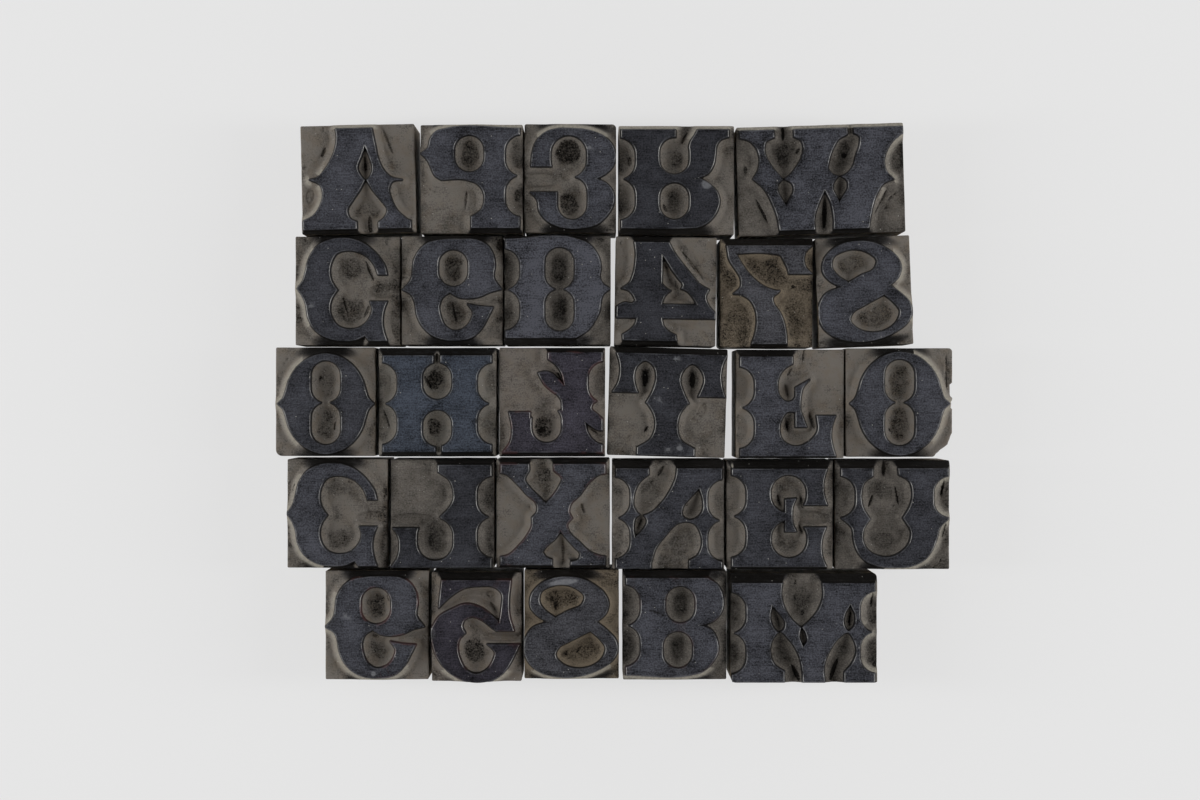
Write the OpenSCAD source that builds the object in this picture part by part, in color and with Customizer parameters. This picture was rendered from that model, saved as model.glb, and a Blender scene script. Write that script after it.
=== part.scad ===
// A set of loose wooden printing type: single letters and figures of one ornamented face,
// laid out in five rows with their printing faces up. Faces read mirrored, as type does,
// and some sorts lie upside down.
// Lengths are millimetres. The points of a face are grid steps from the middle of its sort,
// and a third value of 1 marks a sharp corner; the curve runs smoothly through all other points.

/* [Type body] */
// Body size, from the head to the foot of a sort
body_h = 25.4; // [24:0.1:27]
// Height of the printing face above the bed
type_high = 23.3; // [18:0.1:26]
// Depth of the cut around a letter
cut_depth = 2.6; // [1:0.1:5]
// Least margin between a face and the edge of its body
bearing_w = 0.25; // [0.1:0.05:0.5]

/* [Letter face] */
// Width of a round counter
counter_w = 7.1; // [5.5:0.1:8]
// Height of a round counter that stands alone
counter_h = 8.8; // [8.2:0.1:9.6]
// Height of one counter of a pair that meets at a waist
pair_h = 10.1; // [9.8:0.1:10.4]
// Distance between the middles of such a pair
pair_pitch = 9.7; // [9.5:0.1:9.8]
// Width of a counter in the 3, the L and the E
wide_counter_w = 8.5; // [7.5:0.1:9]
// Height of a counter in the E
arm_counter_h = 9; // [8.6:0.1:9.6]
// How far a side bite reaches in past the serif ends
bite_w = 3.4; // [2.4:0.1:4.2]
// Height of one side bite
bite_h = 9.9; // [9.4:0.1:10.6]
// Distance between the middles of the two bites on one side
bite_pitch = 9.4; // [9.1:0.1:9.9]
// How far the middle of a bite lies outside the serif ends
bite_out = 0.6; // [0.3:0.1:0.9]

/* [Set widths, row 3, the longest] */
// Set width of the O at the left
letter_o_1_set = 23.3; // [22.5:0.1:30]
// Set width of the H
letter_h_set = 27.4; // [26.5:0.1:32]
// Set width of the L with a stroke
letter_l_stroke_set = 24.7; // [24:0.1:30]
// Set width of the T
letter_t_set = 27.5; // [26.5:0.1:32]
// Set width of the F
letter_f_set = 25.2; // [24.5:0.1:30]
// Set width of the O at the right
letter_o_2_set = 24.9; // [22.5:0.1:30]

/* [Set widths, rows 1 and 2] */
// Set width of the A
letter_a_set = 26.6; // [25:0.1:32]
// Set width of the P
letter_p_set = 23.9; // [23:0.1:30]
// Set width of the 3
figure_3_set = 21.4; // [20.5:0.1:28]
// Set width of the R
letter_r_set = 27.0; // [26:0.1:32]
// Set width of the W
letter_w_set = 38.9; // [37:0.1:42]
// Set width of the C in row 2
letter_c_1_set = 24.4; // [23:0.1:30]
// Set width of the 9 in row 2
figure_9_1_set = 23.6; // [22.5:0.1:30]
// Set width of the D
letter_d_set = 24.8; // [23.5:0.1:30]
// Set width of the 4
figure_4_set = 23.6; // [22.5:0.1:30]
// Set width of the 7
figure_7_set = 21.6; // [20.5:0.1:28]
// Set width of the 8 in row 2
figure_8_1_set = 22.1; // [21:0.1:28]

/* [Set widths, rows 4 and 5] */
// Set width of the C in row 4
letter_c_2_set = 23.4; // [22.5:0.1:30]
// Set width of the L
letter_l_set = 24.1; // [23.5:0.1:30]
// Set width of the X
letter_x_set = 26.5; // [25.5:0.1:32]
// Set width of the N
letter_n_set = 26.1; // [25.5:0.1:32]
// Set width of the E
letter_e_set = 24.8; // [24:0.1:30]
// Set width of the U
letter_u_set = 26.7; // [26:0.1:32]
// Set width of the 9 in row 5
figure_9_2_set = 24.1; // [22.5:0.1:30]
// Set width of the 5
figure_5_set = 21.0; // [20.5:0.1:28]
// Set width of the 8 in row 5
figure_8_2_set = 22.1; // [21:0.1:28]
// Set width of the B
letter_b_set = 24.2; // [23.5:0.1:30]
// Set width of the M
letter_m_set = 34.2; // [33.5:0.1:40]

/* [Setting] */
// Gap between two rows of level sorts
row_gap = 0.6; // [0.6:0.05:3]
// Closest gap between two sorts in a row
sort_gap = 0.35; // [0.2:0.05:2]

/* [Hidden] */
// Grid steps in one body size, and the length of one step
GRID = 109;
step = body_h / GRID;
// Outline segments between two points of a curve
CURVE_STEPS = 3;
// The O at the right comes from a slightly larger cutting than its twin
o_2_size = 1.03;
$fn = 64;

// How far each row starts in from the longest row
row_indent = [5.7, 4.6, 0, 2.7, 11.6];

// Columns of a row: name, set width, turn in degrees, extra gap before it, rise above the row line
NAME = 0;
WIDTH = 1;
TURN = 2;
EXTRA_GAP = 3;
RISE = 4;
rows = [
  [["letter_a", letter_a_set, 1.3, 0, 0],
   ["letter_p", letter_p_set, 0, 0.5, 0],
   ["figure_3", figure_3_set, 0, 0, 0.2],
   ["letter_r", letter_r_set, 0, 0.1, -0.3],
   ["letter_w", letter_w_set, 1.7, 0, -0.1]],
  [["letter_c_1", letter_c_1_set, 0, 0, 0],
   ["figure_9_1", figure_9_1_set, 0, 0, 0.1],
   ["letter_d", letter_d_set, 0, 0, 0.1],
   ["figure_4", figure_4_set, -0.9, 0.4, -0.1],
   ["figure_7", figure_7_set, 0, 0.3, -0.5],
   ["figure_8_1", figure_8_1_set, 2.3, 0.1, -0.1]],
  [["letter_o_1", letter_o_1_set, 0, 0, 0.2],
   ["letter_h", letter_h_set, 0, 0.4, 0.1],
   ["letter_l_stroke", letter_l_stroke_set, 0, 0.3, 0.1],
   ["letter_t", letter_t_set, -1.6, 0, 0.1],
   ["letter_f", letter_f_set, 0, 1.5, -0.3],
   ["letter_o_2", letter_o_2_set, 0, 0, 0]],
  [["letter_c_2", letter_c_2_set, 0, 0, 0.2],
   ["letter_l", letter_l_set, 0, 0.4, 0.1],
   ["letter_x", letter_x_set, 0, 0.1, 0.2],
   ["letter_n", letter_n_set, 0, 0.1, 0],
   ["letter_e", letter_e_set, 0, 0.2, -0.1],
   ["letter_u", letter_u_set, 0, 0.1, -0.1]],
  [["figure_9_2", figure_9_2_set, 0, 0, 0.2],
   ["figure_5", figure_5_set, 0, 0.3, -0.2],
   ["figure_8_2", figure_8_2_set, 0, 0.2, 0.4],
   ["letter_b", letter_b_set, 0, 0.5, 0.2],
   ["letter_m", letter_m_set, 0, 0.5, -0.4]]
];

// Where each sort stands: every sort clears the one before it by its turned extent
row_pitch = body_h + row_gap;
function extent(s) = s[WIDTH] * cos(s[TURN]) + body_h * abs(sin(s[TURN]));
function gap_before(s) = sort_gap + s[EXTRA_GAP];
function start_x(r, i) =
  i == 0 ? row_indent[r] : start_x(r, i - 1) + extent(rows[r][i - 1]) + gap_before(rows[r][i]);
function row_end(r) = start_x(r, len(rows[r]) - 1) + extent(rows[r][len(rows[r]) - 1]);
set_w = max([for (r = [0 : len(rows) - 1]) row_end(r)]);
function middle_x(r, i) = start_x(r, i) + extent(rows[r][i]) / 2 - set_w / 2;
function middle_y(r, i) = ((len(rows) - 1) / 2 - r) * row_pitch + rows[r][i][RISE];

// Points of a closed outline through grid points
function place(p) = [p[0], p[1]] * step;
function is_corner(p) = len(p) > 2;
function around(points, i) = points[(i + len(points)) % len(points)];
function tangent(a, b, c, reach) =
  let (before = norm(b - a), after = norm(c - b))
  reach * ((c - b) / after * before + (b - a) / before * after) / (before + after);
function curve_span(points, i) =
  let (
    b = around(points, i),
    c = around(points, i + 1),
    from = place(b),
    to = place(c),
    reach = norm(to - from),
    leave = is_corner(b) ? to - from : tangent(place(around(points, i - 1)), from, to, reach),
    arrive = is_corner(c) ? to - from : tangent(from, to, place(around(points, i + 2)), reach),
    steps = is_corner(b) && is_corner(c) ? 1 : CURVE_STEPS
  )
  [for (k = [0 : steps - 1])
    let (t = k / steps, u = 1 - t)
    u * u * (1 + 2 * t) * from + u * u * t * leave + t * t * (3 - 2 * t) * to - t * t * u * arrive];
function outline(points) = [for (i = [0 : len(points) - 1]) each curve_span(points, i)];

module shape(points) {
  polygon(outline(points));
}

// Upright oval with round ends, its middle at a grid point
module oval(x, y, w = counter_w, h = counter_h) {
  translate([x, y] * step) {
    square([w, h - w], center = true);
    for (end = [-1, 1]) translate([0, end * (h - w) / 2]) circle(d = w);
  }
}

// Two stacked counters that meet at a narrow waist
module stacked_counters(x, y) {
  for (end = [-1, 1]) oval(x, y + end * pair_pitch / 2 / step, h = pair_h);
}

// Straight-sided area between two grid corners
module box(x0, y0, x1, y1) {
  translate([x0, y0] * step) square([x1 - x0, y1 - y0] * step);
}

// Bites cut into the side of a stem, one above and one below the spur at its middle
module bite(x, side, y) {
  oval(x + side * bite_out / step, y, 2 * (bite_w + bite_out), bite_h);
}
module bites(x, side, middle) {
  for (end = [-1, 1]) bite(x, side, middle + end * bite_pitch / 2 / step);
}

// One sort: the body up to the shoulder and the face standing on it
module sort(name, shift = [0, 0]) {
  for (r = [0 : len(rows) - 1]) for (i = [0 : len(rows[r]) - 1])
    if (rows[r][i][NAME] == name)
      translate([middle_x(r, i), middle_y(r, i), 0]) rotate(rows[r][i][TURN]) {
        block(rows[r][i][WIDTH]);
        relief(rows[r][i][WIDTH]) translate(shift * step) children();
      }
}
module block(w) {
  color([0.36, 0.33, 0.3])
    translate([-w / 2, -body_h / 2, 0]) cube([w, body_h, type_high - cut_depth]);
}
module relief(w) {
  color([0.22, 0.23, 0.26])
    translate([0, 0, type_high - cut_depth]) linear_extrude(cut_depth) intersection() {
      square([w - 2 * bearing_w, body_h - 2 * bearing_w], center = true);
      children();
    }
}

// Faces of row 1
module face_a() {
  difference() {
    shape([[-23, 50, 1], [13, 50, 1], [16, 34], [19, 19], [24, 8], [31, 1], [42, -2, 1],
           [32, -4], [29, -11], [31, -21], [37, -33], [47, -42, 1], [50, -43, 1], [50, -50, 1],
           [-57, -50, 1], [-57, -41, 1], [-47, -36], [-40, -26], [-37, -14], [-40, -5],
           [-50, 0, 1], [-42, 2], [-35, 9], [-29, 18], [-24, 30], [-22, 41]]);
    shape([[6, 33, 1], [10, 22], [13, 10], [11, 3], [6, -2], [1, 3], [-2, 10], [2, 22]]);
    shape([[6, 0, 1], [13, -12], [21, -22], [27, -32], [24, -39], [18, -44, 1], [18, -60, 1],
           [-4, -60, 1], [-4, -43, 1], [-10, -40], [-13, -32], [-7, -21], [0, -11]]);
  }
}
module face_p() {
  difference() {
    shape([[48, 50, 1], [-25, 50, 1], [-35, 47], [-41, 39], [-43, 31], [-50, 25, 1], [-44, 19],
           [-40, 11], [-36, 3], [-30, -1, 1], [-5, -1, 1], [6, -5], [12, -13], [13, -22], [10, -31],
           [0, -38, 1], [0, -49, 1], [48, -49, 1]]);
    oval(-2, 25);
    bites(48, 1, 3);
  }
}
module face_3() {
  difference() {
    shape([[1, 49], [19, 47], [32, 42], [41, 34], [45, 22], [42, 11], [35, 4], [26, -1, 1],
           [35, -5], [43, -15], [43, -26], [37, -37], [27, -46], [12, -50], [-10, -49],
           [-23, -43], [-31, -33], [-33, -22], [-40, -14, 1], [-39, 12, 1], [-38, 23],
           [-34, 36], [-25, 45], [-12, 49]]);
    box(-60, -14.5, 2, 11.5);
    oval(-1.5, 21, wide_counter_w, pair_h);
    oval(2, -20.5, h = pair_h);
  }
}
module face_r() {
  difference() {
    shape([[-55, 50, 1], [52, 50, 1], [52, 43, 1], [44, 40], [40, 34], [39, 26], [37, 15], [32, 7],
           [22, 2, 1], [34, -5], [41, -13], [43, -21], [40, -32], [33, -41], [22, -47], [12, -48, 1],
           [-55, -48, 1]]);
    oval(-2, 24);
    oval(-2, -21);
    shape([[-1, 36, 1], [12, 30, 1], [14, 38], [19, 46], [25, 60, 1], [-1, 60, 1]]);
    bites(-55, -1, 1);
  }
}
module face_w() {
  difference() {
    shape([[-80, 50, 1], [82, 50, 1], [82, 44, 1], [74, 38], [66, 27], [63, 15], [65, 6],
           [72, -2, 1], [62, -6], [56, -14], [51, -26], [48, -38], [46, -50, 1], [-43, -50, 1],
           [-45, -37], [-50, -22], [-58, -7], [-68, 2, 1], [-63, 10], [-61, 21], [-64, 33],
           [-72, 41], [-80, 43, 1]]);
    shape([[-46, 43, 1], [-54, 39], [-56, 31], [-50, 15], [-44, 7], [-38, 0, 1], [-31, 5],
           [-25, 12], [-19, 22], [-17, 32], [-19, 39], [-26, 43, 1], [-26, 60, 1], [-46, 60, 1]]);
    shape([[27, 44, 1], [18, 39], [13, 31], [8, 18], [7, 10], [12, 4], [19, 2], [26, 5], [32, 12],
           [35, 22], [39, 33], [39, 42], [34, 45, 1], [33, 60, 1], [27, 60, 1]]);
    shape([[-38, 2, 1], [-29, -4], [-28, -11], [-32, -19], [-36, -26, 1], [-40, -19], [-44, -11],
           [-44, -5]]);
    shape([[18, 4, 1], [26, -3], [26, -10], [21, -18], [17, -24, 1], [14, -17], [11, -10], [12, -4]]);
    shape([[3, -11, 1], [8, -22], [11, -38], [10, -60, 1], [-7, -60, 1], [-8, -38], [-3, -23]]);
  }
}

// Faces of row 2
module face_c() {
  shape([[2, 52], [15, 48], [25, 41], [33, 32], [38, 24], [40, 16, 1], [31, 16, 1], [27, 26],
         [20, 34], [11, 38.5], [0, 40], [-10, 37], [-15, 29], [-17, 19], [-15, 9], [-9.5, 0.5, 1],
         [-15, -8], [-17, -18], [-15, -27], [-9, -35], [3, -38.5], [14, -36], [22, -28], [25, -18],
         [23, -11, 1], [40, -11, 1], [37, -19], [35.5, -30], [37, -41], [40, -50, 1], [22, -50, 1], [18, -45, 1],
         [9, -49], [-5, -50], [-20, -47], [-33, -38], [-39, -26], [-41, -14], [-44, -6],
         [-49.5, 2, 1], [-44, 10], [-41, 20], [-38, 32], [-30, 44], [-16, 51]]);
}
module face_9() {
  difference() {
    shape([[-12, 50], [8, 51], [25, 50], [35, 45], [41, 36], [43, 26], [42, 12], [49.5, 1, 1],
           [38, -2], [29, -6], [18, -8], [7, -7], [-2, -2, 1], [-9, -7], [-12.5, -16], [-11, -26],
           [-7, -35], [2, -40.5], [12, -38], [19, -30], [21, -22], [16, -14, 1], [28, -16],
           [41, -17, 1], [36, -27], [29, -39], [20, -47], [5, -50], [-9, -49], [-21, -44],
           [-30, -35], [-35, -24], [-37, -12], [-40, -5], [-49, 0.5, 1], [-41, 10], [-39, 20],
           [-38, 29], [-33, 39], [-24, 47]]);
    oval(1.5, 22);
  }
}
module face_d() {
  difference() {
    shape([[-51.5, 51, 1], [20, 51, 1], [30, 47], [37, 40], [42, 30], [43, 21], [42, 14], [44, 8],
           [52, 1.5, 1], [45, -5], [43, -12], [42, -20], [38, -29], [31, -39], [18, -47.5, 1],
           [-51.5, -47.5, 1]]);
    stacked_counters(2, 1);
    bites(-51.5, -1, 0.5);
  }
}
module face_4() {
  difference() {
    shape([[-32, 48.5, 1], [2.5, 48.5, 1], [7, 40], [15, 29], [25, 17], [34, 7], [43, 2, 1],
           [40, -5], [43, -14], [50, -22, 1], [50, -27, 1], [-3.5, -27, 1], [-2, -34], [3, -40],
           [10.5, -44, 1], [11.5, -49.5, 1], [-42, -49.5, 1], [-42.5, -44, 1], [-35, -39], [-30, -33],
           [-28.5, -27, 1], [-48.5, -27, 1], [-48.5, -16, 1], [-41, -12], [-33, -12.5], [-30, -10, 1],
           [-33, -4], [-37, 0], [-44, 2, 1], [-37, 7], [-33, 16], [-31, 27], [-30.5, 37]]);
    shape([[-4, 36, 1], [1, 29], [6, 21], [12, 13], [17, 6], [13, 0], [3, 1], [-4, 7, 1]]);
    shape([[-4, -13.5, 1], [-1.5, -6], [4, 0], [11.5, 3], [20, 1], [27, -6], [31.5, -13.5, 1]]);
  }
}
module face_7() {
  difference() {
    shape([[-40, 47, 1], [45, 47, 1], [39, 41], [37, 33], [39, 25], [45, 19, 1], [18, 19, 1], [17, 9], [12, 1], [6, -5],
           [7, -11], [12, -18], [16, -26], [19, -38], [20, -51, 1], [-15, -51, 1], [-11, -38],
           [-10, -26], [-12, -15], [-18, -6], [-25, -2], [-33, -1, 1], [-26, 6], [-26, 14],
           [-31, 23], [-37, 32]]);
    shape([[-31, 39, 1], [6, 39], [14, 37], [17.5, 31], [22, 19], [20, 6], [13, 2], [4, 3.5],
           [-4, 7], [-13, 14], [-21, 23]]);
  }
}
module face_8() {
  difference() {
    shape([[-5, 48], [10, 46], [24, 39], [33, 31], [37, 21], [34, 11], [25, 3, 1], [36, -6],
           [44, -15], [46, -25], [41, -35], [30, -43], [16, -49], [0, -52], [-18, -51], [-33, -46],
           [-43, -37], [-47, -26], [-46, -14], [-40, -4], [-23, 3, 1], [-34, 9], [-41, 18], [-40, 30],
           [-33, 39], [-20, 46]]);
    shape([[-32, 23], [-30, 33], [-20, 38.5], [-7, 40], [5, 36], [13, 28], [10, 20], [-3, 14],
           [-16, 7, 1], [-26, 14]]);
    shape([[-16, -30], [-13, -23], [-3, -17], [9, -11], [19, -6, 1], [28, -14], [34, -23], [30, -34],
           [18, -42], [5, -43.5], [-9, -39]]);
  }
}

// Faces of row 3
module face_o() {
  difference() {
    shape([[0, 50], [16, 46], [29, 36], [37, 23], [40, 13], [43, 5], [48, 0, 1], [43, -5],
           [40, -13], [37, -23], [29, -36], [16, -46], [0, -50], [-16, -46], [-29, -36], [-37, -23],
           [-40, -13], [-43, -5], [-48, 0, 1], [-43, 5], [-40, 13], [-37, 23], [-29, 36], [-16, 46]]);
    stacked_counters(0, 1);
  }
}
module face_h() {
  difference() {
    box(-56, -49.5, 52, 46.5);
    oval(-2, 21);
    oval(-2, -26);
    box(-6, 30, 1.5, 60);
    box(-4, -60, 3, -35);
    bites(-56, -1, -1.5);
    bites(52, 1, -1.5);
  }
}
module face_l_stroke() {
  difference() {
    shape([[-6, 49.5, 1], [48, 49.5, 1], [48, -50, 1], [-51, -50, 1], [-44, -40], [-42, -28],
           [-45, -10, 1], [-23, -10, 1], [-20, -2, 1], [5, 6, 1], [-2, 11], [-9, 17], [-16, 29, 1],
           [-10, 30.5], [-3, 29], [4, 23], [10, 17, 1], [8, 27], [2, 37], [-6, 43, 1]]);
    oval(-7.5, -22);
    shape([[-24, -16, 1], [-24, 0, 1], [2, 9, 1], [6, 4, 1], [8, -8, 1]]);
    bite(48, 1, 20);
    shape([[60, 4, 1], [45, 2], [39, -1], [37, -6], [43, -12], [52, -20, 1], [60, -20, 1]]);
    shape([[31, -20, 1], [33, -29], [38, -37], [46, -42], [60, -43, 1], [60, -29, 1], [46, -28, 1]]);
  }
}
module face_t() {
  difference() {
    shape([[-52, 48, 1], [58, 48, 1], [54, 38], [52.5, 27], [54, 16], [57, 6.5, 1], [31, 6.5, 1], [24, 1, 1], [19, -2, 1],
           [13, -11], [10.5, -24], [14, -37], [28, -46, 1], [28, -53, 1], [-29, -53, 1],
           [-29, -46, 1], [-16, -37], [-11.5, -24], [-14, -11], [-20, -2, 1], [-25, 2, 1],
           [-30, 9, 1], [-55, 9, 1], [-50, 18], [-48, 29], [-49, 39]]);
    shape([[-23, 41], [-14, 34], [-12, 25], [-14, 14], [-23, -4, 1], [-32, 14], [-34, 25], [-32, 34]]);
    shape([[24, 39], [33, 32], [36, 23], [33, 12], [24, -6, 1], [15, 12], [12, 23], [15, 32]]);
  }
}
module face_f() {
  difference() {
    shape([[-50, 47, 1], [2, 47, 1], [2, 40, 1], [-6, 35], [-11, 28], [-13, 18], [-11, 8], [-4, 2],
           [2, 3], [5, 7, 1], [5, 16, 1], [19, 24, 1], [13, 17], [10, 4], [10, -6], [13, -15],
           [16, -23, 1], [5, -23, 1], [5, -8, 1], [-3, -8], [-9, -16], [-11, -26], [-8, -36],
           [5, -42.5], [18, -38], [27, -27], [26, -12, 1], [45, -12, 1], [42, -20], [40.5, -31], [42, -42], [45, -52, 1],
           [-50, -52, 1]]);
    bites(-50, -1, -4);
  }
}

// Faces of row 4
module face_l() {
  difference() {
    shape([[-4, 49, 1], [49, 49, 1], [49, -53, 1], [-51, -53, 1], [-45, -44], [-42.5, -32],
           [-44, -22], [-49, -14, 1], [-19, -14, 1], [-18, -5, 1], [-2, -3, 1], [5, 4], [11, 14],
           [11, 24], [7, 34], [-4, 42, 1]]);
    oval(-7, -25, wide_counter_w, pair_h);
    shape([[-22, -16, 1], [-22, -3, 1], [-4, 0, 1], [-1, -4, 1], [2, -10, 1], [-8, -16, 1]]);
    bites(49, 1, -3);
  }
}
module face_x() {
  difference() {
    box(-53, -51, 51, 49.5);
    shape([[-25, 60, 1], [-25, 43, 1], [-29, 34], [-24, 26], [-16, 18], [-8, 10, 1], [-1, 18], [5, 27],
           [8, 35], [0, 43, 1], [-1, 60, 1]]);
    shape([[6.5, -17, 1], [1, -25], [-7, -32], [-11, -38], [-8, -43], [-2, -46, 1], [-2, -60, 1],
           [16, -60, 1], [17, -48, 1], [25, -45], [26, -40], [20, -33], [12, -24]]);
    shape([[-60, 41, 1], [-48, 39.5], [-38, 31], [-27, 19], [-17, 9], [-17, 2], [-22, -4, 1],
           [-22, -12], [-27, -22], [-36, -33], [-45, -41], [-60, -44, 1]]);
    shape([[60, 40, 1], [45, 39], [36, 32], [26, 19], [16, 8], [15, 2], [18, -4.5, 1], [13, -11],
           [15, -18], [25, -28], [36, -38], [46, -42], [60, -43, 1]]);
  }
}
module face_n() {
  difference() {
    box(-53, -54, 52.5, 46);
    shape([[-20.5, 60, 1], [-20.5, 40, 1], [-29, 33], [-35, 20], [-35, 7], [-28, -1], [-18, 2],
           [-8, 11], [1, 24], [6, 35], [8, 60, 1]]);
    shape([[-27, 2, 1], [-22, -6], [-26, -15], [-34, -23, 1], [-35.5, -13], [-34, -4]]);
    shape([[30, 26.5, 1], [33.5, 15], [33, 3], [28, -3], [20, -5.5], [13, -1], [14, 8], [21, 17]]);
    shape([[17, -7], [25, -9], [31, -18], [32.5, -31], [28, -41], [20, -46, 1], [20, -60, 1],
           [-18, -60, 1], [-18, -48, 1], [-13, -33], [-3, -20], [8, -9]]);
    bites(-53, -1, -3.5);
    bites(52.5, 1, -6);
  }
}
module face_e() {
  difference() {
    box(-48, -51.5, 47, 46);
    difference() {
      union() {
        oval(8.5, 21, wide_counter_w, arm_counter_h);
        oval(9, -24, wide_counter_w, arm_counter_h);
        box(5, -12.5, 60, 10);
      }
      box(-12, -4.5, 6, 2.5);
      shape([[5, 15.5, 1], [16, 16.5, 1], [12.5, 8], [12, 0], [12.5, -8], [16, -16.5, 1], [5, -16.5, 1]]);
    }
    shape([[60, 46, 1], [47, 46, 1], [44, 37], [43, 28], [44, 19], [47, 10, 1], [60, 10, 1]]);
    shape([[60, -12, 1], [46, -12, 1], [42.5, -21], [41, -32], [42.5, -43], [46, -51.5, 1], [60, -51.5, 1]]);
    bites(-48, -1, -1.5);
  }
}
module face_u() {
  difference() {
    shape([[-51.5, 46.5, 1], [55, 46.5, 1], [55, -4, 1], [47, -12], [44, -22], [40, -33], [33, -43],
           [19, -50.5], [2, -52], [-14, -51], [-27, -46], [-35, -37], [-39, -26], [-41, -13],
           [-51.5, -3, 1]]);
    shape([[-20, 39, 1], [-28, 33], [-31.5, 22], [-30, 8], [-23, -4, 1], [-29, -14], [-30, -25],
           [-24, -36], [-14, -41], [-4, -42], [8, -37], [16, -28], [18, -17], [10, -3, 1], [17, 9],
           [19.5, 21], [16, 34], [6, 40, 1], [3.5, 60, 1], [-19.5, 60, 1]]);
    bite(-51.5, -1, 18);
    bite(55, 1, 18);
  }
}

// Faces of row 5
module face_5() {
  shape([[-34.5, 47, 1], [34.5, 47, 1], [32.5, 28], [33, 12], [37.5, -3.5, 1], [20, -3.5, 1], [15, 0],
         [6, 7], [-4.5, 10.5], [-12, 7], [-14, 1], [-11, -5.5, 1], [-17, -12], [-18.5, -21],
         [-16, -32], [-9, -43], [0, -46.5], [9, -43], [16, -34], [18.5, -25], [11, -17, 1],
         [43, -17, 1], [37, -30], [28, -44], [15, -53], [-1.5, -55.5], [-17, -51], [-30, -42],
         [-39, -30], [-44, -15], [-45, -1.5, 1], [-37, 11], [-25, 18], [-10, 23.5], [4, 20],
         [14, 13], [23, 5, 1], [25, 20], [25, 34], [20, 39], [2, 41], [-12, 39], [-24, 32],
         [-37.5, 19.5, 1]]);
}
module face_b() {
  difference() {
    shape([[-48.5, 47.5, 1], [33, 47.5, 1], [43, 40], [48, 28], [47, 15], [39, 5], [24, 0.5, 1],
           [36, -4], [42, -14], [43, -26], [37, -37], [27, -46], [16, -49, 1], [-48.5, -49, 1]]);
    oval(5.5, 21);
    oval(3, -24);
    bites(-48.5, -1, 0);
  }
}
module face_m() {
  difference() {
    box(-72, -53.5, 70, 45);
    shape([[-21, 60, 1], [-22, 45], [-23, 35], [-20, 21], [-12, 8], [-3, 0, 1], [7, 9], [15, 20],
           [19, 34], [18, 45], [16, 60, 1]]);
    shape([[-3, 3, 1], [2, -6], [3, -12], [-1, -19, 1], [-5, -8]]);
    shape([[-32, 23, 1], [-24, 14], [-19, 6], [-21, -2], [-26, -4], [-31, 1], [-34, 11]]);
    shape([[46, 24, 1], [51, 12], [49, 1], [44, -3], [40, 2], [40, 13]]);
    shape([[-24, -3], [-16, -10], [-8, -21], [-3, -35], [-1, -60, 1], [-20, -60, 1], [-20, -43, 1],
           [-29, -37], [-34, -24], [-31, -10]]);
    shape([[43, -4], [50, -13], [52, -23], [47, -36], [40, -44, 1], [40, -60, 1], [21, -60, 1],
           [20, -36], [26, -21], [35, -9]]);
    bites(-72, -1, -5);
    bites(70, 1, -4);
  }
}

// The sorts, row by row
module letter_a() { sort("letter_a", [2, 0]) face_a(); }
module letter_p() { sort("letter_p") face_p(); }
module figure_3() { sort("figure_3") face_3(); }
module letter_r() { sort("letter_r") face_r(); }
module letter_w() { sort("letter_w") face_w(); }
module letter_c_1() { sort("letter_c_1") face_c(); }
module figure_9_1() { sort("figure_9_1") face_9(); }
module letter_d() { sort("letter_d") face_d(); }
module figure_4() { sort("figure_4") face_4(); }
module figure_7() { sort("figure_7") face_7(); }
module figure_8_1() { sort("figure_8_1", [0, 2]) face_8(); }
module letter_o_1() { sort("letter_o_1", [1, -2]) face_o(); }
module letter_h() { sort("letter_h", [2, 0]) face_h(); }
module letter_l_stroke() { sort("letter_l_stroke", [2, 0]) face_l_stroke(); }
module letter_t() { sort("letter_t") face_t(); }
module letter_f() { sort("letter_f") face_f(); }
module letter_o_2() { sort("letter_o_2", [0, -1]) scale(o_2_size) face_o(); }
module letter_c_2() { sort("letter_c_2", [0, -2]) face_c(); }
module letter_l() { sort("letter_l") face_l(); }
module letter_x() { sort("letter_x", [1, 0]) face_x(); }
module letter_n() { sort("letter_n", [1, 0]) face_n(); }
module letter_e() { sort("letter_e") face_e(); }
module letter_u() { sort("letter_u") face_u(); }
module figure_9_2() { sort("figure_9_2", [-2, -2]) face_9(); }
module figure_5() { sort("figure_5") face_5(); }
module figure_8_2() { sort("figure_8_2") face_8(); }
module letter_b() { sort("letter_b") face_b(); }
module letter_m() { sort("letter_m") face_m(); }

letter_a();
letter_p();
figure_3();
letter_r();
letter_w();
letter_c_1();
figure_9_1();
letter_d();
figure_4();
figure_7();
figure_8_1();
letter_o_1();
letter_h();
letter_l_stroke();
letter_t();
letter_f();
letter_o_2();
letter_c_2();
letter_l();
letter_x();
letter_n();
letter_e();
letter_u();
figure_9_2();
figure_5();
figure_8_2();
letter_b();
letter_m();
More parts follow.
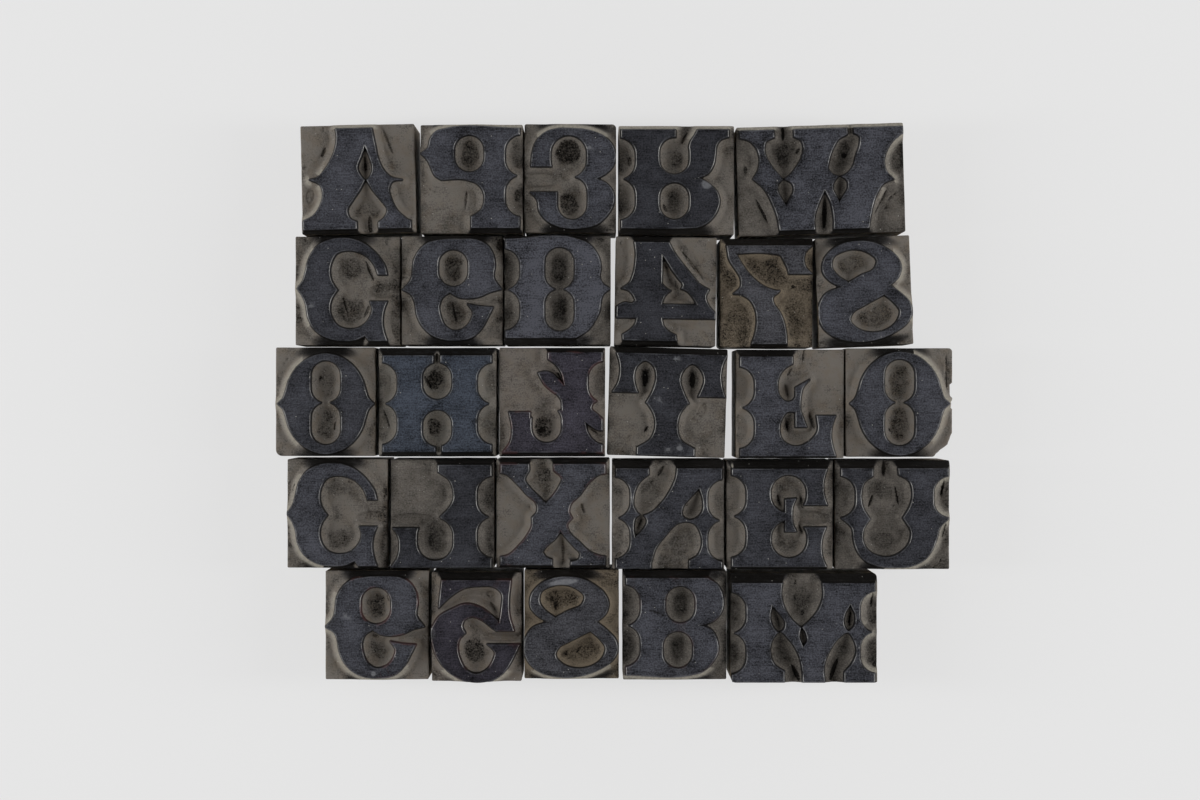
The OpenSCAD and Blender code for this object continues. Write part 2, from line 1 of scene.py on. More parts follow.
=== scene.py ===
"""A set of loose wooden printing type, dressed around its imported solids."""
import logging
import math
from dataclasses import dataclass
from enum import Enum
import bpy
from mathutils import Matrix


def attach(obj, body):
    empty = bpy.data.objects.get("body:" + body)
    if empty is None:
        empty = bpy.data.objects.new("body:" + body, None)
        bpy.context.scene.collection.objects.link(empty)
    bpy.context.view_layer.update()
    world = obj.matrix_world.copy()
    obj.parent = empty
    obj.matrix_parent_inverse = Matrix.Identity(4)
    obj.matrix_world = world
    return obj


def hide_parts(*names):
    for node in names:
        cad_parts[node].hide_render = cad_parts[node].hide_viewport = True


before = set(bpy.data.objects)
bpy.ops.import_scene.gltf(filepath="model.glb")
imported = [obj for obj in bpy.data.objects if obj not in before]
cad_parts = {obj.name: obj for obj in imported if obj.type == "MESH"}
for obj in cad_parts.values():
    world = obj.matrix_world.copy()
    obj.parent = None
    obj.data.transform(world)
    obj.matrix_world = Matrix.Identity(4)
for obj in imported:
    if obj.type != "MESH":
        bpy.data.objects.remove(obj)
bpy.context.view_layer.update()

from types import SimpleNamespace
from typing import Any, Optional, Union

import bpy
import numpy as np
from mathutils import Vector, noise
from mathutils.geometry import delaunay_2d_cdt

MM = 0.001
LOG = logging.getLogger("wood_type")

# How many points are measured at a time.
BATCH = 1000
# Numbers that each mesh carries for its finish, painted shade and painted light among them.
MESH_MARKS = (
    "reach", "coarse", "bowl_shade_and_ink", "scuff", "score", "groove", "edge_darkening", "outward_light", "strip_shade_and_ink", "glint", "flank",
    "tone", "floor", "warmth", "frost", "rouge", "age",
)

Colour = tuple[float, float, float]
Number = Union[int, float]


def srgb(red: int, green: int, blue: int) -> Colour:
    """Turns a colour written in 0 to 255 into linear light.

    Args:
        red: Red level.
        green: Green level.
        blue: Blue level.

    Returns:
        The linear colour.
    """
    levels = [level / 255 for level in (red, green, blue)]
    return tuple(c / 12.92 if c < 0.04045 else ((c + 0.055) / 1.055) ** 2.4 for c in levels)


class Value:
    """A socket that carries a number; arithmetic on it adds Math nodes."""

    def __init__(self, web: "NodeWeb", socket: bpy.types.NodeSocket) -> None:
        """Keeps the socket and the web of nodes it belongs to."""
        self.web = web
        self.socket = socket

    def _math(self, operation: str, *terms: Union["Value", Number]) -> "Value":
        """Adds one Math node and returns its result."""
        return self.web.node("ShaderNodeMath", {"operation": operation}, dict(enumerate(terms)))

    def __add__(self, other: Union["Value", Number]) -> "Value":
        """Sum of two numbers."""
        return self._math("ADD", self, other)

    __radd__ = __add__

    def __sub__(self, other: Union["Value", Number]) -> "Value":
        """Difference of two numbers."""
        return self._math("SUBTRACT", self, other)

    def __rsub__(self, other: Number) -> "Value":
        """Difference with the number first."""
        return self._math("SUBTRACT", other, self)

    def __mul__(self, other: Union["Value", Number]) -> "Value":
        """Product of two numbers."""
        return self._math("MULTIPLY", self, other)

    __rmul__ = __mul__

    def clamp(self) -> "Value":
        """The number held between 0 and 1."""
        return self.web.node("ShaderNodeClamp", {}, {0: self})

    def ramp(self, low: float, high: float) -> "Value":
        """Runs smoothly from 0 at low to 1 at high.

        Args:
            low: Where the result is 0.
            high: Where the result is 1; it may lie below low.

        Returns:
            The eased value.
        """
        return self.web.node(
            "ShaderNodeMapRange", {"interpolation_type": "SMOOTHSTEP"}, {0: self, 1: low, 2: high}
        )


class NodeWeb:
    """The node tree of one material or of the world."""

    def __init__(self, owner: Union[bpy.types.Material, bpy.types.World]) -> None:
        """Starts an empty tree.

        Args:
            owner: The material or the world that holds the tree.
        """
        owner.use_nodes = True
        self.tree = owner.node_tree
        self.tree.nodes.clear()

    def node(
        self,
        kind: str,
        settings: Optional[dict[str, Any]] = None,
        sockets: Optional[dict[Union[int, str], Any]] = None,
        out: Union[int, str] = 0,
    ) -> Value:
        """Adds a node.

        Args:
            kind: Blender's name of the node type.
            settings: Properties that are set first.
            sockets: Values or links by socket name or number.
            out: The output that is wanted.

        Returns:
            That output.
        """
        made = self.tree.nodes.new(kind)
        for key, setting in (settings or {}).items():
            setattr(made, key, setting)
        for key, given in (sockets or {}).items():
            if isinstance(given, Value):
                self.tree.links.new(given.socket, made.inputs[key])
            elif isinstance(given, tuple) and made.inputs[key].type == "RGBA":
                made.inputs[key].default_value = (*given, 1.0)
            else:
                made.inputs[key].default_value = given
        return Value(self, made.outputs[out] if made.outputs else None)

    def attribute(self, name: str) -> Value:
        """A number stored on the mesh under that name."""
        return self.node("ShaderNodeAttribute", {"attribute_name": name}, out="Fac")

    def stretch(self, vector: Value, by: tuple[float, float, float]) -> Value:
        """The vector multiplied axis by axis."""
        return self.node("ShaderNodeVectorMath", {"operation": "MULTIPLY"}, {0: vector, 1: by})

    def cloud(self, vector: Value, scale: float, detail: float, rough: float) -> Value:
        """Soft noise around 0.5 at the given scale per mm."""
        sockets = {"Vector": vector, "Scale": scale, "Detail": detail, "Roughness": rough}
        return self.node("ShaderNodeTexNoise", {}, sockets)

    def blend(self, share: Value, low: Union[Value, Colour], high: Union[Value, Colour]) -> Value:
        """Mixes two colours.

        Args:
            share: How much of the second colour shows.
            low: The first colour.
            high: The second colour.

        Returns:
            The mixed colour.
        """
        return self.node("ShaderNodeMix", {"data_type": "RGBA"}, {0: share, 6: low, 7: high}, out=2)


@dataclass(frozen=True)
class InkTint:
    """Colours of the inked face and of the cuts of one sort."""

    face_dark: Colour
    face_light: Colour
    cut_dark: Colour
    cut_light: Colour


class Tint(Enum):
    """The inks that the faces have taken up over the years."""

    SLATE = InkTint(srgb(9, 9, 11), srgb(77, 78, 85), srgb(16, 14, 12), srgb(110, 105, 99))
    NAVY = InkTint(srgb(8, 9, 12), srgb(72, 78, 89), srgb(16, 14, 12), srgb(108, 104, 98))
    VIOLET = InkTint(srgb(9, 8, 11), srgb(78, 75, 85), srgb(16, 14, 12), srgb(110, 104, 98))
    UMBER = InkTint(srgb(9, 9, 11), srgb(79, 79, 84), srgb(17, 14, 11), srgb(110, 100, 86))


@dataclass(frozen=True)
class InkedWood:
    """End-grain hardwood with an inked printing face."""

    tint: Tint
    flank_dark: Colour = srgb(70, 60, 48)
    flank_light: Colour = srgb(140, 125, 103)
    flank_ink: Colour = srgb(31, 29, 29)
    # Pale colour of the dust specks and of the painted glints on edges that face the side lamps.
    dust_and_glint: Colour = srgb(176, 174, 168)
    # Pale grey of rubbed spots on the face, and of the painted highlight along its worn edge.
    rubbed_and_highlight: Colour = srgb(120, 121, 124)
    tan: Colour = srgb(106, 95, 82)
    # Colour of the painted light on slopes that face out of the set.
    bare_wood: Colour = srgb(150, 145, 134)
    red_ink: Colour = srgb(104, 66, 64)
    face_level: float = 0.6
    cut_level: float = 0.88
    flank_level: float = 0.52
    roughness: float = 0.76
    sheen: float = 0.12
    relief: float = 0.2 * MM
    relief_strength: float = 0.7

    def material(self) -> bpy.types.Material:
        """Makes the node material of this finish.

        Returns:
            The material, made once for each tint.
        """
        name = f"inked_wood_{self.tint.name.lower()}"
        found = bpy.data.materials.get(name)
        if found:
            return found
        made = bpy.data.materials.new(name)
        WoodLayers(NodeWeb(made), self).join()
        return made


class WoodLayers:
    """The layers of one inked wood material, which read the marks on the mesh of a sort.

    Reach is the distance in mm from the edge of the face, and is negative on the face. The other
    marks say how much stain, wear, painted shade and painted light there is.
    """

    def __init__(self, web: NodeWeb, wood: InkedWood) -> None:
        """Reads the marks and lays out the noise that the layers share.

        Args:
            web: The node tree of the material.
            wood: The finish, with its colours and levels.
        """
        self.web = web
        self.wood = wood
        self.ink = wood.tint.value
        self.mark = SimpleNamespace(**{name: web.attribute(name) for name in MESH_MARKS})
        place = web.node("ShaderNodeTexCoord", out="Object")
        self.mm = web.stretch(place, (1 / MM, 1 / MM, 1 / MM))
        self.drift = self._noise(0.12, 3.0, 0.55)
        self.mottle = self._noise(0.28, 4.0, 0.6)
        self.fine = self._noise(1.7, 2.0, 0.7)
        self.grain = self._noise(2.7, 2.0, 0.6)
        self.across = self._streaks((0.4, 1.9, 1.0), 3.0)
        self.down = self._streaks((1.9, 0.4, 1.0), 3.0)
        self.hair = self._streaks((0.3, 3.6, 1.0), 2.0)
        self.fibre = self._streaks((2.6, 2.6, 0.12), 4.0)
        self.saw = self._streaks((0.12, 0.12, 2.6), 2.0)
        self.pores = self._streaks((4.5, 4.5, 0.22), 2.0, 0.5).ramp(0.08, 0.2)
        self.pits = (self._noise(2.4, 2.0, 0.6) + self.fine * 0.3).ramp(-0.08, 0.14)
        self.hollow = (self.mark.coarse + self.fine * 0.6).ramp(0.15, 0.7)
        self.crack = (self.mark.groove + self.fine * 1.6).ramp(0.36, 0.54)
        self.slit = (self.mark.score * (1 + self.fine * 2.0)).ramp(0.15, 0.6)
        self.inked = (self.mark.reach + self.fine * 0.1).ramp(0.36, 0.2)
        # The worn edge of the face: it takes a painted highlight and a lower roughness.
        self.worn_and_highlight = self._band(-0.26, -0.16, -0.02, 0.06)

    def _noise(self, scale: float, detail: float, rough: float) -> Value:
        """Noise around 0 at the given scale per mm."""
        return self.web.cloud(self.mm, scale, detail, rough) - 0.5

    def _streaks(self, by: tuple[float, float, float], detail: float, rough: float = 0.6) -> Value:
        """Noise around 0 with a scale per mm of its own along each axis."""
        return self.web.cloud(self.web.stretch(self.mm, by), 1.0, detail, rough) - 0.5

    def _band(self, start: float, full: float, fade: float, end: float) -> Value:
        """A strip along the edge of the face, which starts and ends softly at these reaches."""
        return self.mark.reach.ramp(start, full) * self.mark.reach.ramp(end, fade)

    def face(self) -> Value:
        """Inks the face, darker at its margin, with rubbed spots and black nicks.

        Returns:
            The colour.
        """
        mark = self.mark
        margin = (mark.reach + self.mottle * 1.2).ramp(-1.4, -0.2)
        cloudy = self.mottle * (0.9 + mark.frost * 0.5) + self.drift * 0.7
        grainy = self.hair * 0.8 + self.grain * (1.8 + mark.frost * 0.6)
        light = (self.wood.face_level + cloudy + grainy - margin * 0.2) * (1 + mark.tone)
        face = self.web.blend(light.clamp(), self.ink.face_dark, self.ink.face_light)
        rubbed = mark.scuff + self.fine * mark.scuff * 1.5
        face = self.web.blend(rubbed.clamp(), face, self.wood.rubbed_and_highlight)
        return self.web.blend((mark.scuff * -1).clamp(), face, self.ink.cut_dark)

    def cut(self) -> Value:
        """Colours the routed wood, with bowls darkened by painted shade and ink, wood darker near the
        block's edges, pits, cracks, scores, brown patches and painted light on slopes that face out of the
        set.

        Returns:
            The colour.
        """
        mark = self.mark
        cloudy = self.mottle * 1.4 + self.drift * 1.1
        grainy = self.hair * 0.5 + self.grain * 1.7
        light = (self.wood.cut_level + cloudy + grainy) * (1 + mark.floor)
        # Painted shade with ink darkens the bowls; the wood is also darker near the block's edges.
        darkening = mark.bowl_shade_and_ink * 0.46 + mark.edge_darkening * 0.42
        holes = self.hollow * (0.14 + self.pits * 0.42) + self.crack * 0.35 + self.slit * 0.62
        cut = self.web.blend((light - darkening - holes).clamp(), self.ink.cut_dark, self.ink.cut_light)
        brown = self._noise(0.45, 3.0, 0.5).ramp(-0.12, 0.2) * (0.05 + mark.warmth * 0.5)
        crumbs = self.hollow * (1 - self.pits) * 0.3 + brown * (1 - self.hollow * self.pits)
        cut = self.web.blend((crumbs * (1 - mark.bowl_shade_and_ink * 0.9)).clamp(), cut, self.wood.tan)
        # Painted light: slopes that face out of the set are made paler, as if lit by the bright ground
        # beyond.
        outward_light = mark.outward_light * (0.7 + self.fine * 1.4)
        return self.web.blend(outward_light.clamp(), cut, self.wood.bare_wood)

    def top(self) -> Value:
        """Joins the face and the cuts, with a dark line of painted shade and ink, strips of painted shade
        and ink at the head and foot, worn edges with a painted highlight, painted glints and red ink
        between them.

        Returns:
            The colour.
        """
        mark = self.mark
        # Painted shade with ink: the strips at the head and foot take the face's ink colour.
        top = self.web.blend((self.inked + mark.strip_shade_and_ink * 0.85).clamp(), self.cut(), self.face())
        # Painted shade with ink: a dark line on the steep wall just outside the face, and the dark strips,
        # go towards the dark of the cuts.
        line = self._band(0.0, 0.08, 0.26, 0.42) * (1 - mark.outward_light)
        black = line * 0.75 + mark.strip_shade_and_ink * (1.0 + self.across * 0.9)
        top = self.web.blend(black.clamp(), top, self.ink.cut_dark)
        # Painted highlight, partly wear: a pale rim along the edge of the face.
        top = self.web.blend(self.worn_and_highlight * (0.08 + self.mottle * 0.9).clamp(), top, self.wood.rubbed_and_highlight)
        # Painted highlight: bright ticks on the edges that face left or right, towards the side lamps.
        patchy = (self.mottle * 3.5 + 0.3 - mark.tone * 0.8).clamp()
        tick = self._band(-0.17, -0.1, -0.01, 0.05) * mark.glint * patchy
        top = self.web.blend((tick * 0.75).clamp(), top, self.wood.dust_and_glint)
        trace = self._band(-0.3, -0.1, 0.2, 0.5) * self._noise(0.2, 2.0, 0.5).ramp(0.0, 0.1)
        return self.web.blend((trace * mark.rouge * 0.4).clamp(), top, self.wood.red_ink)

    def flank(self) -> Value:
        """Colours the long-grain flanks, with growth bands, ink runs and smears, and darker towards the
        foot.

        Returns:
            The colour.
        """
        age = self.mark.age
        height = self.web.node("ShaderNodeSeparateXYZ", {}, {0: self.mm}, out="Z")
        bands = self._streaks((0.3, 0.3, 0.02), 3.0)
        lines = self.fibre * 1.1 + self.saw * 0.5 - self.pores * 0.32
        light = self.wood.flank_level + age * 0.14 + bands * 1.3 + lines
        flank = self.web.blend(light.clamp(), self.wood.flank_dark, self.wood.flank_light)
        runs = self._streaks((0.5, 0.5, 0.1), 3.0)
        inky = (height + runs * 14 + age * 1.2).ramp(17.5, 23.5)
        smear = (self._noise(0.11, 4.0, 0.65) + self.fibre * 0.2).ramp(0.05, 0.18)
        # Darker towards the foot.
        foot = (height + runs * 4).ramp(1.8, 0.2)
        darkening = inky * 0.75 + smear * 0.5 + foot * 0.4
        return self.web.blend(darkening.clamp(), flank, self.wood.flank_ink)

    def specks(self) -> Value:
        """Strews a few specks of dust.

        Returns:
            How much dust shows.
        """
        cell = {"Vector": self.mm, "Scale": 0.95, "Randomness": 1.0}
        spot = self.web.node("ShaderNodeTexVoronoi", {}, cell, out="Distance")
        pick = self.web.node("ShaderNodeTexVoronoi", {}, cell, out="Color")
        chosen = self.web.node("ShaderNodeSeparateColor", {}, {0: pick}).ramp(0.85, 0.89)
        return (spot.ramp(0.14, 0.05) * chosen * 0.75).clamp()

    def relief(self) -> Value:
        """Works out the small relief of grain, pits, cracks and saw marks.

        Returns:
            The height for the bump.
        """
        weave = self.across + self.down * 0.7
        top = self.fine * (0.35 + (1 - self.inked) * 0.8) + weave * self.inked * 0.35
        holes = self.pits * self.hollow * 1.5 + (self.crack + self.slit) * 0.8
        return top - holes + (self.fibre * 1.2 + self.saw * 0.8 - self.pores * 0.7) * self.mark.flank

    def join(self) -> None:
        """Joins the layers in one shader."""
        skin = self.web.blend(self.mark.flank, self.top(), self.flank())
        skin = self.web.blend(self.specks(), skin, self.wood.dust_and_glint)
        gloss = self.inked * (1 - self.mark.flank) * 0.32 + self.worn_and_highlight * (0.2 + self.mottle * 0.5)
        rough = (self.wood.roughness - gloss + self.fine * 0.4).clamp()
        bump = self.web.node(
            "ShaderNodeBump", {},
            {"Strength": self.wood.relief_strength, "Distance": self.wood.relief, "Height": self.relief()},
        )
        shader = self.web.node(
            "ShaderNodeBsdfPrincipled", {},
            {"Base Color": skin, "Roughness": rough, "Normal": bump, "Specular IOR Level": self.wood.sheen},
        )
        self.web.node("ShaderNodeOutputMaterial", {}, {0: shader})


@dataclass(frozen=True)
class CutProfile:
    """Depth of the cut in mm by the distance in mm from the edge of a face."""

    reach: tuple[float, ...] = (-0.22, -0.17, -0.04, 0.0, 0.12, 0.24, 0.6, 1.0, 1.35, 1.75)
    depth: tuple[float, ...] = (0.0, 0.012, 0.1, 0.15, 0.7, 1.1, 1.45, 1.85, 2.2, 2.5)
    track_depth: float = 2.62
    track_run: tuple[float, float] = (1.3, 1.9)
    shoulder_depth: float = 2.55
    shoulder_fade: tuple[float, float] = (3.3, 4.6)
    wide_from: float = 4.6
    bowl_depth: float = 3.05
    open_bowl_depth: float = 2.7
    bowl_run: tuple[float, float] = (1.25, 2.6)
    channel_depth: float = 0.7
    score_depth: float = 0.4
    groove_depth: float = 0.3
    pit_depth: float = 0.3
    chatter_depth: float = 0.04

    def wall(self, reach: np.ndarray) -> np.ndarray:
        """Depth of the routed wall alone."""
        return np.interp(reach, self.reach, self.depth)


def ripple(points: np.ndarray, scale: float, seed: float) -> np.ndarray:
    """Smooth noise between about -1 and 1.

    Args:
        points: Points in mm, one in a row.
        scale: Waves in one mm.
        seed: Which noise field is used.

    Returns:
        One value for each point.
    """
    return np.array([noise.noise(Vector((x * scale, y * scale, seed))) for x, y in points])


def ease(values: np.ndarray, low: float, high: float) -> np.ndarray:
    """Smooth step from 0 at low to 1 at high."""
    share = np.clip((values - low) / (high - low), 0, 1)
    return share * share * (3 - 2 * share)


@dataclass
class FaceOutline:
    """Closed loops around a printing face, in mm, with the face on their left."""

    loops: list[np.ndarray]
    corner_turn: float = math.radians(30)
    fan_turn: float = math.radians(24)
    spacing: float = 0.26
    ring_slack: float = 0.05
    smallest: float = 1e-12

    def __post_init__(self) -> None:
        """Smooths the loops and lists their segments."""
        self.loops = [self._smooth(loop) for loop in self.loops if len(loop) > 2]
        self.start = np.vstack(self.loops)
        self.end = np.vstack([np.roll(loop, -1, axis=0) for loop in self.loops])
        self.loop_of = np.concatenate([[i] * len(loop) for i, loop in enumerate(self.loops)])
        self.is_counter = np.array([self._area(loop) < 0 for loop in self.loops])

    @staticmethod
    def _area(loop: np.ndarray) -> float:
        """Signed area, which is negative for a hole."""
        after = np.roll(loop, -1, axis=0)
        return float(np.sum(loop[:, 0] * after[:, 1] - after[:, 0] * loop[:, 1]) / 2)

    def _smooth(self, loop: np.ndarray) -> np.ndarray:
        """Draws a curve through a loop's points that keeps its corners.

        Args:
            loop: Points of a closed loop.

        Returns:
            Points about one spacing apart.
        """
        before = loop - np.roll(loop, 1, axis=0)
        after = np.roll(loop, -1, axis=0) - loop
        len_before = np.linalg.norm(before, axis=1)[:, None]
        len_after = np.linalg.norm(after, axis=1)[:, None]
        cross = before[:, 0] * after[:, 1] - before[:, 1] * after[:, 0]
        turn = np.abs(np.arctan2(cross, np.sum(before * after, axis=1)))
        heading = after / len_after * len_before + before / len_before * len_after
        heading = heading / (len_before + len_after)
        drawn = []
        for i, from_point in enumerate(loop):
            j = (i + 1) % len(loop)
            chord = loop[j] - from_point
            length = float(np.linalg.norm(chord))
            leave = chord if turn[i] > self.corner_turn else heading[i] * length
            arrive = chord if turn[j] > self.corner_turn else heading[j] * length
            for t in np.linspace(0, 1, max(1, math.ceil(length / self.spacing)), endpoint=False):
                u = 1 - t
                drawn.append(
                    u * u * (1 + 2 * t) * from_point + u * u * t * leave
                    + t * t * (3 - 2 * t) * loop[j] - t * t * u * arrive
                )
        return np.array(drawn)

    def reach(self, points: np.ndarray) -> tuple[np.ndarray, np.ndarray, np.ndarray]:
        """Measures points against the outline.

        Args:
            points: Points in mm.

        Returns:
            Signed distances, which are negative on the face, whether the nearest loop is a counter,
            and the direction from the outline to each point.
        """
        far = np.empty(len(points))
        away = np.empty((len(points), 2))
        nearest = np.empty(len(points), int)
        inside = np.empty(len(points), bool)
        span = self.end - self.start
        square = np.maximum(np.sum(span * span, axis=1), self.smallest)
        for first in range(0, len(points), BATCH):
            batch = slice(first, first + BATCH)
            chunk = points[batch, None, :]
            gap = chunk - self.start
            share = np.clip(np.sum(gap * span, axis=2) / square, 0, 1)
            distance = np.sum((gap - share[:, :, None] * span) ** 2, axis=2)
            best = distance.argmin(axis=1)
            row = np.arange(len(best))
            far[batch] = np.sqrt(distance[row, best])
            away[batch] = gap[row, best] - share[row, best][:, None] * span[best]
            nearest[batch] = best
            x, y = chunk[:, :, 0], chunk[:, :, 1]
            crosses = (self.start[:, 1] > y) != (self.end[:, 1] > y)
            rise = np.where(np.abs(span[:, 1]) < self.smallest, self.smallest, span[:, 1])
            at = self.start[:, 0] + (y - self.start[:, 1]) / rise * span[:, 0]
            inside[batch] = np.sum(crosses & (x < at), axis=1) % 2 == 1
        away /= np.maximum(far, 1e-6)[:, None]
        return np.where(inside, -far, far), self.is_counter[self.loop_of[nearest]], away

    def rings(self, distances: tuple[float, ...]) -> np.ndarray:
        """Points beside the outline at set distances from it, with fans around sharp corners.

        Args:
            distances: Distances in mm, negative towards the face.

        Returns:
            The points, without those that another stretch of outline comes closer to.
        """
        made = []
        for loop in self.loops:
            before = loop - np.roll(loop, 1, axis=0)
            after = np.roll(loop, -1, axis=0) - loop
            first = np.arctan2(-before[:, 0], before[:, 1])
            last = np.arctan2(-after[:, 0], after[:, 1])
            bend = (last - first + math.pi) % (2 * math.pi) - math.pi
            for point, angle, swing in zip(loop, first, bend):
                fan = max(1, math.ceil(abs(swing) / self.fan_turn))
                shares = [0.5] if fan == 1 else np.linspace(0, 1, fan + 1)
                for share in shares:
                    aim = angle + swing * share
                    normal = np.array([math.cos(aim), math.sin(aim)])
                    made.extend((*(point + normal * d), d) for d in distances)
        made = np.array(made)
        reach, _, _ = self.reach(made[:, :2])
        close = np.abs(np.abs(reach) - np.abs(made[:, 2])) < self.ring_slack
        return made[close & (np.sign(reach) == np.sign(made[:, 2]))][:, :2]


class Inking(Enum):
    """How much lighter or darker than most a printing face looks."""

    HEAVY = -0.45
    FULL = -0.25
    PLAIN = 0.0
    RUBBED = 0.35


@dataclass(frozen=True)
class CutShade:
    """How much lighter than most the cuts of a sort are, and how brown they are."""

    floor: float
    warmth: float


class CutTone(Enum):
    """The shades that the cuts come in."""

    DUSTY = CutShade(0.3, 0.8)
    PLAIN = CutShade(0.0, 0.4)
    SOOTY = CutShade(-0.28, 0.05)


@dataclass(frozen=True)
class Chip:
    """A dent in the edge of a sort, placed in mm from its middle."""

    at: tuple[float, float]
    radius: float
    bite: float


@dataclass(frozen=True)
class Break:
    """A corner that is lost beyond a line, which faces the heading in degrees."""

    at: tuple[float, float]
    heading: float
    rough: float = 0.3


@dataclass(frozen=True)
class Scuff:
    """An oval mark on a sort, placed in mm from its middle, sized by its half axes, turned in degrees."""

    at: tuple[float, float]
    size: tuple[float, float]
    strength: float
    turn: float = 0.0
    fade: tuple[float, float] = (0.75, 1.1)
    spacing: float = 0.17

    def share(self, points: np.ndarray) -> np.ndarray:
        """Finds how much of the mark shows.

        Args:
            points: Points in the frame of the sort.

        Returns:
            The strength in the mark's middle, and 0 outside it.
        """
        c, s = math.cos(math.radians(self.turn)), math.sin(math.radians(self.turn))
        local = (points - self.at) @ np.array([[c, -s], [s, c]]) / self.size
        return self.strength * (1 - ease(np.hypot(*local.T), *self.fade))

    def grid(self) -> np.ndarray:
        """Lays out points that are close enough together to draw the mark.

        Returns:
            Points in the frame of the sort.
        """
        most = max(self.size) * 1.25
        steps = np.arange(-most, most, self.spacing)
        spread = np.stack(np.meshgrid(steps, steps), axis=2).reshape(-1, 2) + self.at
        return spread[np.abs(self.share(spread)) > 0]


@dataclass(frozen=True)
class Wear:
    """What years of use and the cutter's hand have left on one sort, with the painted shade and light that
    go with it.

    Pits and gloom say how rough the closed counters are and how dark they are with painted shade and ink,
    their open namesakes do the same for cuts that run out of the block, and grit is the roughness of the
    wide floors, all from 0 to 1. Frost is how cloudy the face is, rouge how much red ink its edges kept,
    and pale how much painted light the slopes get that face out of the set at its left and right. Cores are
    rough bottoms of single bowls, dark with painted shade and ink, and channels are grooves that the router
    left. Corner radii run from the top right one to the left around the block.
    """

    tint: Tint = Tint.SLATE
    inking: Inking = Inking.PLAIN
    cuts: CutTone = CutTone.PLAIN
    pits: float = 0.6
    bowl_shade_and_ink: float = 0.5
    open_pits: float = 0.1
    open_bowl_shade_and_ink: float = 0.2
    grit: float = 0.0
    frost: float = 0.0
    rouge: float = 0.0
    # How much painted light the slopes get that face out of the set at the left and right.
    pale: float = 1.0
    corners: tuple[float, float, float, float] = (0.35, 0.35, 0.35, 0.35)
    chips: tuple[Chip, ...] = ()
    breaks: tuple[Break, ...] = ()
    scuffs: tuple[Scuff, ...] = ()
    scores: tuple[Scuff, ...] = ()
    cores: tuple[Scuff, ...] = ()
    channels: tuple[Scuff, ...] = ()


